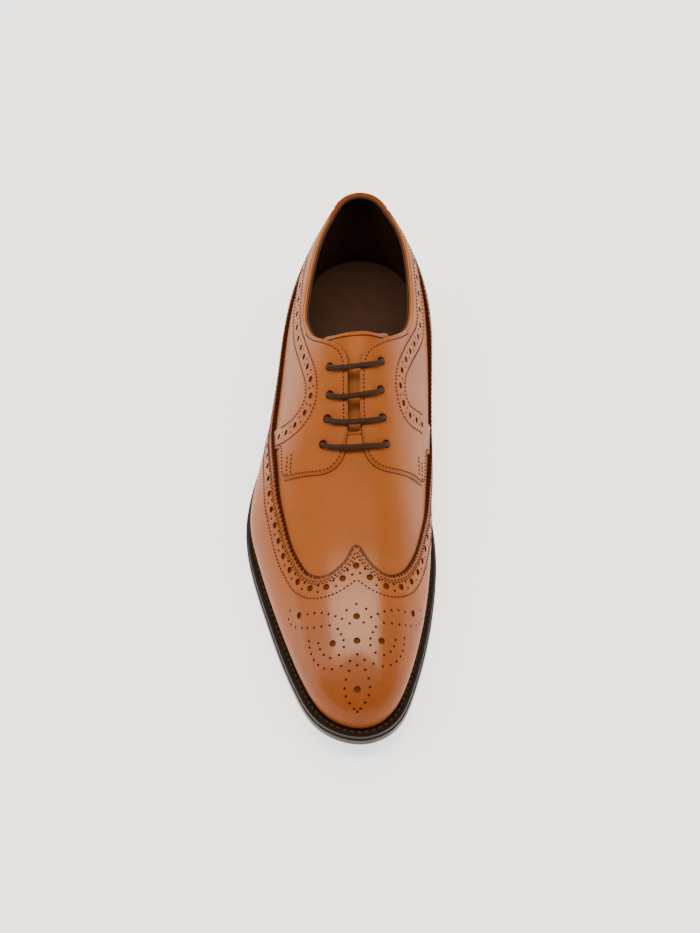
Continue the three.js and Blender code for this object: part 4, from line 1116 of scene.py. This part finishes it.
def leather(name, colour, edge_colour, burnish=1.0):
    """Polished calf: mottled colour, darker over the toes and low at the heel, a fine grain, raw
    light cut edges with a dark line beside them, painted shade in the holes, and a dark mark from
    a point value: edge dye on the wing, painted shadow beside overlapping edges and painted shade
    in the eyelets."""
    s = sizes()
    look = Look(name, coat_roughness=0.25).dull(0.1)
    look.shader.inputs["Coat IOR"].default_value = 1.65
    base = tuple(colour)
    toes = (0 - look.axis("Y")).ramp(0.055, 0.148)
    heel = look.axis("Y").ramp(0.09, 0.15) * look.axis("Z").ramp(0.1, 0.03)
    blotch = look.noise(42, 3, 0.55).ramp(0.35, 0.68)
    fine = look.noise(260, 4, 0.6)
    dark = (toes * 0.72 + heel * 0.4) * burnish
    tone = look.mix(dark, base, tuple(s.burnt_colour))
    tone = look.mix(blotch * 0.22, tone, shade(base, 0.62))
    tone = look.mix(fine.ramp(0.45, 0.75) * 0.14, tone, shade(base, 1.3))
    edge = look.point_value("edge")
    back = look.axis("Y").ramp(0.125, 0.131) * look.axis("Z").ramp(0.06, 0.07)
    rim = look.mix(back, edge_colour, tuple(s.strip_colour))
    tone = look.mix(edge.ramp(0.32, 0.75) * 0.45, tone, shade(base, 0.35))
    tone = look.mix(edge.ramp(0.86, 0.97), tone, rim)
    hole = look.point_value("hole")
    # Dark mark from the point value: edge dye on the wing, painted shadow beside overlapping edges,
    # painted shade in the eyelets.
    tone = look.mix(look.point_value("stain") * 0.93, tone, EDGE_DYE_AND_SHADE)
    # Painted shade in the brogue holes: dark walls, then a darker floor of the same tan.
    tone = look.mix(hole.ramp(0.05, 0.3), tone, EDGE_DYE_AND_SHADE)
    tone = look.mix(hole.ramp(0.75, 0.98), tone, shade(base, 0.4))
    grain = look.noise(1500, 3, 0.6) * 0.7 + look.noise(4200, 2, 0.5) * 0.3
    gloss = (1 - edge.ramp(0.86, 0.97)) * (1 - hole)
    polish = (0 - look.axis("Y")).ramp(0.055, 0.095) * look.axis("Z").ramp(0.028, 0.043)
    polish = polish * look.maths("ABSOLUTE", look.axis("X") - 0.001).ramp(0.040, 0.010)
    return look.give(base_color=tone, roughness=look.noise(180, 3) * 0.14 + 0.38 + hole * 0.4,
                     coat_weight=gloss * (polish * 0.66 + 0.02),
                     normal=look.bump(grain, 0.00007, 0.6))


def plain_leather(name, colour, roughness=0.5, grain=0.0001):
    look = Look(name).dull(0.2)
    tone = look.mix(look.noise(160, 3).ramp(0.35, 0.7) * 0.5, shade(colour, 0.75), tuple(colour))
    return look.give(base_color=tone, roughness=look.noise(300, 2) * 0.16 + (roughness - 0.08),
                     normal=look.bump(look.noise(2200, 3), grain, 0.7))


def stacked_leather(name, colour):
    """Edge-dyed lifts of leather: fine dark lines at even heights under a waxed finish."""
    look = Look(name).dull(0.3)
    lift = look.maths("PINGPONG", look.axis("Z") + look.noise(60) * 0.0002, 0.0024)
    line = lift.ramp(0.0, 0.00035, 1.0, 0.0)
    tone = look.mix(look.noise(220, 3).ramp(0.3, 0.7) * 0.5, tuple(colour), shade(colour, 1.6))
    tone = look.mix(line * 0.75, tone, shade(colour, 0.25))
    return look.give(base_color=tone, roughness=look.noise(200, 3) * 0.15 + 0.3,
                     normal=look.bump(1 - line, 0.00015, 0.6))


def thread(name, colour):
    look = Look(name).dull(0.05)
    twist = look.noise(3000, 2)
    return look.give(base_color=look.mix(twist, shade(colour, 0.7), tuple(colour)),
                     roughness=twist * 0.2 + 0.4, normal=look.bump(twist, 0.00008, 0.6))


def braid(name, colour):
    """A round waxed lace: crossed strands run round it as two sets of slanting waves."""
    look = Look(name).dull(0.14)
    along, around = look.point_value("along"), look.point_value("around")
    turns = 8.0
    waves = [look.maths("SINE", around * turns + along * way) * 0.5 + 0.5 for way in (6.2, -6.2)]
    strand = look.maths("MAXIMUM", *waves)
    # Darker in the grooves between the strands: painted shade.
    tone = look.mix(strand.ramp(0.55, 1.0), shade(colour, 0.55), tuple(colour))
    return look.give(base_color=tone, roughness=0.8 - strand * 0.16,
                     normal=look.bump(strand, 0.00012, 0.7))


# Stage

VIEW_TARGET = (0.0049, 0.0013, 0.040)
VIEW_DISTANCE = 1.4
VIEW_ELEVATION = 55.3
VIEW_LENS = 102.5

# Name, place in metres, side lengths, power in watts, colour. Each one faces the shoe.
STAGE_LIGHTS = (
    ("overhead", (0.0, -0.02, 1.3), (2.2, 0.54), 30.0, (1.0, 0.82, 0.61)),
    ("left_strip", (-1.1, -0.1, 0.5), (0.3, 1.2), 1.8, (1.0, 0.92, 0.86)),
    ("right_strip", (1.1, 0.05, 0.45), (0.3, 1.2), 0.3, (1.0, 0.96, 0.95)),
)


def soft_light(name, place, size, power, colour):
    lamp = bpy.data.lights.new(name, "AREA")
    lamp.shape = "RECTANGLE"
    lamp.size, lamp.size_y = size
    lamp.energy = power
    lamp.color = colour
    light = bpy.data.objects.new(name, lamp)
    light.location = place
    aim = np.array([0.0, 0.0, 0.05]) - place
    light.rotation_euler = mathutils.Vector(aim).to_track_quat("-Z", "Y").to_euler()
    bpy.context.scene.collection.objects.link(light)


def paper(width=3.0, depth=3.0, height=1.6, bend=0.5, steps=12):
    """Floor and backdrop in one sheet: flat, a quarter circle, then upright."""
    turn = np.linspace(0, math.pi / 2, steps)
    y = np.concatenate([[-depth], depth / 2 + bend * np.sin(turn), [depth / 2 + bend]])
    z = np.concatenate([[0.0], bend - bend * np.cos(turn), [height]]) - 0.0004
    left = np.stack([np.full(len(y), -width), y, z], 1)
    points = np.vstack([left, left * [-1, 1, 1]]) / MM
    i = np.arange(len(y) - 1)
    n = len(y)
    sheet = put_mesh("paper", points, np.stack([i, i + n, i + n + 1, i + 1], 1), 60)
    look = Look("paper_white", roughness=0.85, emission_strength=1.6, emission_color=(1, 1, 1, 1))
    tone = look.mix(look.noise(3, 1), (0.86, 0.86, 0.87, 1.0), (0.89, 0.89, 0.89, 1.0))
    sheet.data.materials.append(look.give(base_color=tone))
    return sheet


def photo_camera():
    eye = bpy.data.cameras.new("photo")
    eye.lens, eye.sensor_width, eye.sensor_fit = VIEW_LENS, 36.0, "AUTO"
    eye.clip_start, eye.clip_end = 0.05, 20.0
    camera = bpy.data.objects.new("photo", eye)
    tilt = math.radians(VIEW_ELEVATION)
    back = mathutils.Vector((0, -math.cos(tilt), math.sin(tilt)))
    camera.location = mathutils.Vector(VIEW_TARGET) + back * VIEW_DISTANCE
    camera.rotation_euler = (-back).to_track_quat("-Z", "Y").to_euler()
    bpy.context.scene.collection.objects.link(camera)
    return camera


# Add-on

def length(name, description, default, low=0.0, high=0.02):
    return bpy.props.FloatProperty(name=name, description=description, default=default,
                                   min=low, max=high, unit="LENGTH", precision=5)


def tint(name, description, default):
    return bpy.props.FloatVectorProperty(name=name, description=description, default=default,
                                         size=4, min=0.0, max=1.0, subtype="COLOR")


class ShoeSizes(bpy.types.PropertyGroup):
    """Sizes and colours of the finished shoe."""
    wing_band: length("Wing band", "From the wing's edge to the middle of its holes", 0.0053)
    facing_band: length("Facing band", "From the facing's edge to the middle of its holes", 0.0065)
    brogue_pitch: length("Hole pitch", "Between two large holes of a band", 0.0094)
    brogue_spread: length("Hole spread", "From a band's middle to its small holes", 0.0017)
    big_hole: length("Large hole", "Radius of a large hole", 0.0017)
    small_hole: length("Small hole", "Radius of a small hole", 0.00068)
    gimp_pitch: length("Gimp pitch", "Between two teeth of the wing's edge", 0.0026)
    gimp_depth: length("Gimp depth", "Depth of the teeth", 0.0014)
    stitch_pitch: length("Stitch pitch", "Between two stitches of the upper", 0.0021)
    welt_pitch: length("Welt pitch", "Between two stitches of the welt", 0.0037)
    thread: length("Thread", "Width of the thread", 0.00075)
    eyelet_diameter: length("Eyelet", "Diameter of an eyelet", 0.0042)
    lace_diameter: length("Lace", "Diameter of the lace", 0.0028)
    lace_sag: length("Lace sag", "How far a bar hangs towards the toe in its middle", 0.0042)
    tan_colour: tint("Tan", "Leather of the upper", (0.32, 0.092, 0.0175, 1.0))
    tongue_colour: tint("Tongue", "Leather of the tongue", (0.36, 0.105, 0.018, 1.0))
    burnt_colour: tint("Burnished", "Leather where it is burnished", (0.24, 0.055, 0.006, 1.0))
    strip_colour: tint("Back strip", "Leather of the back strip", (0.24, 0.050, 0.012, 1.0))
    rim_colour: tint("Cut edge", "Raw cut edges", (0.48, 0.18, 0.06, 1.0))
    lining_colour: tint("Lining", "Lining and insole", (0.060, 0.026, 0.016, 1.0))
    sole_colour: tint("Sole", "Dyed sole, heel and welt", (0.015, 0.008, 0.005, 1.0))
    rubber_colour: tint("Rubber", "Top piece of the heel", (0.012, 0.011, 0.010, 1.0))
    thread_colour: tint("Thread", "Thread of the upper", (0.095, 0.020, 0.005, 1.0))
    welt_thread: tint("Welt thread", "Thread of the welt", (0.075, 0.040, 0.024, 1.0))
    lace_colour: tint("Lace", "Waxed lace", (0.052, 0.023, 0.011, 1.0))


def sizes():
    return bpy.context.scene.shoe_sizes


def looks():
    """The materials, made once."""
    s = sizes()
    made = bpy.data.materials
    if "tan finish" not in made:
        leather("tan finish", s.tan_colour, tuple(s.rim_colour))
        leather("quarter finish", s.tan_colour, shade(s.rim_colour, 0.4))
        leather("wing finish", s.tan_colour, EDGE_DYE_AND_SHADE)
        leather("strip finish", s.strip_colour, tuple(s.rim_colour))
        leather("tongue finish", s.tongue_colour, tuple(s.rim_colour), 0.3)
        plain_leather("lining finish", s.lining_colour, 0.62)
        plain_leather("welt finish", s.sole_colour, 0.42)
        stacked_leather("edge finish", s.sole_colour)
        plain_leather("rubber finish", s.rubber_colour, 0.62, 0.00004)
        thread("thread finish", s.thread_colour)
        thread("welt thread finish", s.welt_thread)
        braid("lace finish", s.lace_colour)
    return made


class Builder(bpy.types.Operator):
    """A step that makes pieces of the shoe."""
    bl_options = {"REGISTER", "UNDO"}

    def execute(self, context):
        self.make(looks())
        return {"FINISHED"}


class SHOE_OT_upper(Builder):
    """Vamp and quarters with their lining, open at the collar and the throat."""
    bl_idname = "shoe.upper"
    bl_label = "Upper and lining"

    def make(self, made):
        opening = [collar_line(), *eyelet_rings()]
        tabs = [facing_line(side) for side in (LATERAL, MEDIAL)]
        half = UPPER_WALL / 2
        # The upper is marked dark beside the wing's edge and the tabs' edges as painted shadow of
        # those raised edges, and its eyelet walls are marked dark as painted shade.
        outer = panel("upper_shell", [RIM], opening, base=-half, wall=half,
                      trims=[opening[0], wing_line(), *tabs], rows_in=(0.3, 0.9, 1.5, 2.1),
                      stains=[(wing_line(), 1.9), (tabs[0], 0.45), (tabs[1], 0.45)],
                      punched=opening[1:])
        dress(outer, made["quarter finish"], ("upper",))
        lining = panel("upper_lining", [RIM], opening, base=-UPPER_WALL, wall=half - 0.05)
        dress(lining, made["lining finish"], ("upper",))


class SHOE_OT_wing(Builder):
    """The wing tip with its pinked edge, brogueing and medallion."""
    bl_idname = "shoe.wing"
    bl_label = "Wing tip"

    def make(self, made):
        s = sizes()
        edge = gimped(wing_line(), s.gimp_pitch / MM, s.gimp_depth / MM)
        big, small = wing_holes()
        back = strip_loop(0.4)
        piece = panel("wing_cap", [RIM], [edge, back], base=OVERLAY_LIFT, wall=wing_wall,
                      trims=[wing_line()], stains=[(edge, 0.5)],
                      holes=((big, s.big_hole / MM, 16), (small, s.small_hole / MM, 8)))
        dress(piece, made["wing finish"], ("wing_tip",))
        lines = [wing_row(side, aside) for side in (LATERAL, MEDIAL) for aside in WING_SEAMS]
        sewn("wing_stitches", lines, lambda row: wing_wall(row) + 0.1, made["thread finish"])


class SHOE_OT_facings(Builder):
    """Both facings with their tabs, eyelets, bands of holes and bar-tacks."""
    bl_idname = "shoe.facings"
    bl_label = "Facings"

    def make(self, made):
        s = sizes()
        opening = [collar_line(), *eyelet_rings()]
        edge = shifted(wing_line(), -s.gimp_depth / MM - 0.3)
        back = strip_loop(0.4)
        lift = OVERLAY_WALL + OVERLAY_LIFT
        for side, name in ((LATERAL, "facing_lateral"), (MEDIAL, "facing_medial")):
            big, small = facing_holes(side)
            outer = facing_line(side)
            # The facing is marked dark along the wing's edge as painted shadow where it runs under
            # the wing, and its eyelet walls are marked dark as painted shade.
            piece = panel(name + "_leather", [outer, edge], [*opening, back], base=OVERLAY_LIFT,
                          wall=OVERLAY_WALL - OVERLAY_LIFT, trims=[outer, opening[0]],
                          stains=[(edge, 1.0)], punched=opening[1:],
                          holes=((big, s.big_hole / MM, 16), (small, s.small_hole / MM, 8)))
            dress(piece, made["tan finish"], (name,))
            inner = shifted(wing_line(), -1.0)
            lines = [facing_row(side, *BAND_ROWS, aside) for aside in (1.3, 11.8)]
            lines.append(facing_row(side, *TAB_ROWS, 1.6))
            lines = [line[inside(line, inner)] for line in lines]
            lines += bar_tacks(side)
            sewn(name + "_stitches", lines, lift, made["thread finish"])
        seam = shifted(opening[0], 1.9)
        seam = np.roll(seam, -np.argmin(np.abs(seam[:, 1] - station_of(THROAT_END))), 0)
        seam = seam[(seam[:, 1] < station_of(0.515)) & (seam[:, 1] > station_of(0.3))]
        sewn("collar_stitches", split_at(seam, 4.0), lift, made["thread finish"])


class SHOE_OT_back_strip(Builder):
    """The strip over the back seam."""
    bl_idname = "shoe.back_strip"
    bl_label = "Back strip"

    def make(self, made):
        strip = strip_loop()
        opening = collar_line()
        piece = panel("back_strip", [strip, RIM], [opening], base=OVERLAY_LIFT, wall=STRIP_WALL,
                      trims=[strip])
        dress(piece, made["strip finish"], ("heel_strip",))
        edges = strip_sides(1.5)
        lines = [line[~inside(line, shifted(opening, 1.5))] for line in edges.values()]
        sewn("strip_stitches", lines, STRIP_WALL + 0.1, made["thread finish"])


class SHOE_OT_tongue(Builder):
    """The tongue under the lacing, stitched along its top and to the vamp."""
    bl_idname = "shoe.tongue"
    bl_label = "Tongue"

    def make(self, made):
        line = tongue_line()
        piece = panel("tongue_leather", [line], base=lambda flat: -tongue_depth(flat) - TONGUE_WALL,
                      wall=TONGUE_WALL, rounding=0.8, drop=0.5, trims=[line])
        dress(piece, made["tongue finish"], ("tongue",))
        top = np.vstack([flat_points(TONGUE_EDGE, LATERAL)[3:0:-1],
                         flat_points(TONGUE_EDGE, MEDIAL)[:4]])
        row = shifted(knotted(top, 0, len(top) - 1, 0.5), 2.3, closed=False)
        end = [lacing_side(THROAT_END), station_of(THROAT_END) + 1.2]
        reach = THROAT_HALF * 1.3
        seat = even_steps(np.array([end, end]) + [[-reach, 0], [reach, 0]], 0.5)
        sewn("tongue_seam", [seat], 0.1, made["thread finish"], pitch=1.4)
        sewn("tongue_stitches", [row], 0.1 - tongue_depth(row).mean(), made["thread finish"])


class SHOE_OT_lace(Builder):
    """The lace, straight across over the facings and hidden under them."""
    bl_idname = "shoe.lace"
    bl_label = "Lace"

    def make(self, made):
        radius = sizes().lace_diameter / MM / 2
        tube("lace_cord", lace_path(), radius, 18, made["lace finish"], ("lace",))


class SHOE_OT_bottom(Builder):
    """Insole, welt with its stitches, outsole, stacked heel and top piece."""
    bl_idname = "shoe.bottom"
    bl_label = "Bottom"

    def make(self, made):
        clear = UPPER_WALL + 4 * GAP
        sock, inner = inset(feather_edge, clear), inset(feather_edge, clear + 0.8)
        top = FEATHER + INSOLE_THICKNESS
        piece = layered("insole_sock", [(sock, above(FEATHER)), (sock, above(top - 0.6)),
                                        (inner, above(top))])
        dress(piece, made["lining finish"], ("insole",))

        low = SOLE_THICKNESS + 0.02
        outer, soft = inset(sole_edge, WELT_STEP), inset(sole_edge, WELT_STEP + 0.5)
        under = inset(feather_edge, WELT_REACH_UNDER)
        piece = layered("welt_strip", [(outer, above(low)), (outer, above(WELT_TOP - 0.5)),
                                       (soft, above(WELT_TOP)), (under, above(WELT_TOP)),
                                       (under, above(low))], hollow=True)
        dress(piece, made["welt finish"], ("welt",))
        self.sew_welt(made)

        edge, fair = inset(sole_edge, 0.0), inset(sole_edge, 0.7)
        piece = layered("outsole_leather", [(fair, above(0)), (edge, above(0.7)),
                                            (edge, above(SOLE_THICKNESS - 0.5)),
                                            (fair, above(SOLE_THICKNESS))])
        dress(piece, made["edge finish"], ("outsole",))

        until = breast_share()
        joint = HEEL_TAPER * (1 - TOP_PIECE / HEEL_HEIGHT)
        high, mid, foot = (inset(sole_edge, WELT_STEP + d) for d in (0, joint, HEEL_TAPER))
        piece = layered("heel_lifts", [(mid, TOP_PIECE + 0.05), (high, above(-0.05))], until)
        dress(piece, made["edge finish"], ("heel_stack",))
        tread = inset(sole_edge, WELT_STEP + HEEL_TAPER + 0.4)
        piece = layered("heel_top_piece", [(tread, 0.0), (foot, 0.5), (mid, TOP_PIECE)], until)
        dress(piece, made["rubber finish"], ("top_piece",))

    def sew_welt(self, made):
        """Stitches along the welt, halfway between its edge and the upper, from waist to waist."""
        middle = {s: (sole_edge[s] * 0.5 + feather_edge[s] * 0.5) for s in sole_edge}
        shares = np.linspace(0.33, 1, 1200)
        flat = np.vstack([track(middle, LATERAL, shares), track(middle, MEDIAL, shares[-2::-1])])
        flat = even_steps(flat, sizes().welt_pitch / MM)
        place = np.stack([flat[:, 0] - CENTRE_X, CENTRE_S - flat[:, 1],
                          sole_rise(flat[:, 1]) + WELT_TOP + 0.12], 1)
        along = place[1:] - place[:-1]
        up = np.broadcast_to([0.0, 0.0, 1.0], along.shape)
        sew("welt_stitches", (place[1:] + place[:-1]) / 2, along, up, sizes().welt_pitch / MM * 0.72,
            sizes().thread / MM * 1.7, made["welt thread finish"])


class SHOE_OT_stage(bpy.types.Operator):
    """Floor, backdrop, soft lights and the camera."""
    bl_idname = "shoe.stage"
    bl_label = "Stage"
    bl_options = {"REGISTER", "UNDO"}

    def execute(self, context):
        floor = paper()
        for name, place, size, power, colour in STAGE_LIGHTS:
            soft_light(name, place, size, power, colour)
        world = bpy.data.worlds.new("studio")
        world.use_nodes = True
        world.node_tree.nodes["Background"].inputs["Color"].default_value = (1.0, 0.97, 0.94, 1.0)
        world.node_tree.nodes["Background"].inputs["Strength"].default_value = 0.2
        context.scene.world = world
        context.scene.camera = photo_camera()
        return {"FINISHED"}


class SHOE_PT_panel(bpy.types.Panel):
    """Lists the steps in the sidebar."""
    bl_idname = "SHOE_PT_panel"
    bl_label = "Brogue shoe"
    bl_space_type = "VIEW_3D"
    bl_region_type = "UI"
    bl_category = "Shoe"

    def draw(self, context):
        for step in STEPS:
            self.layout.operator(step.bl_idname)
        for name in ShoeSizes.__annotations__:
            self.layout.prop(sizes(), name)


STEPS = (SHOE_OT_upper, SHOE_OT_wing, SHOE_OT_facings, SHOE_OT_back_strip, SHOE_OT_tongue,
         SHOE_OT_lace, SHOE_OT_bottom, SHOE_OT_stage)
CLASSES = (ShoeSizes, *STEPS, SHOE_PT_panel)


def register():
    for each in CLASSES:
        bpy.utils.register_class(each)
    bpy.types.Scene.shoe_sizes = bpy.props.PointerProperty(type=ShoeSizes)


def unregister():
    del bpy.types.Scene.shoe_sizes
    for each in reversed(CLASSES):
        bpy.utils.unregister_class(each)


def main():
    register()
    bpy.ops.shoe.upper()
    bpy.ops.shoe.wing()
    bpy.ops.shoe.facings()
    bpy.ops.shoe.back_strip()
    bpy.ops.shoe.tongue()
    bpy.ops.shoe.lace()
    bpy.ops.shoe.bottom()
    bpy.ops.shoe.stage()


if __name__ == "__main__":
    main()
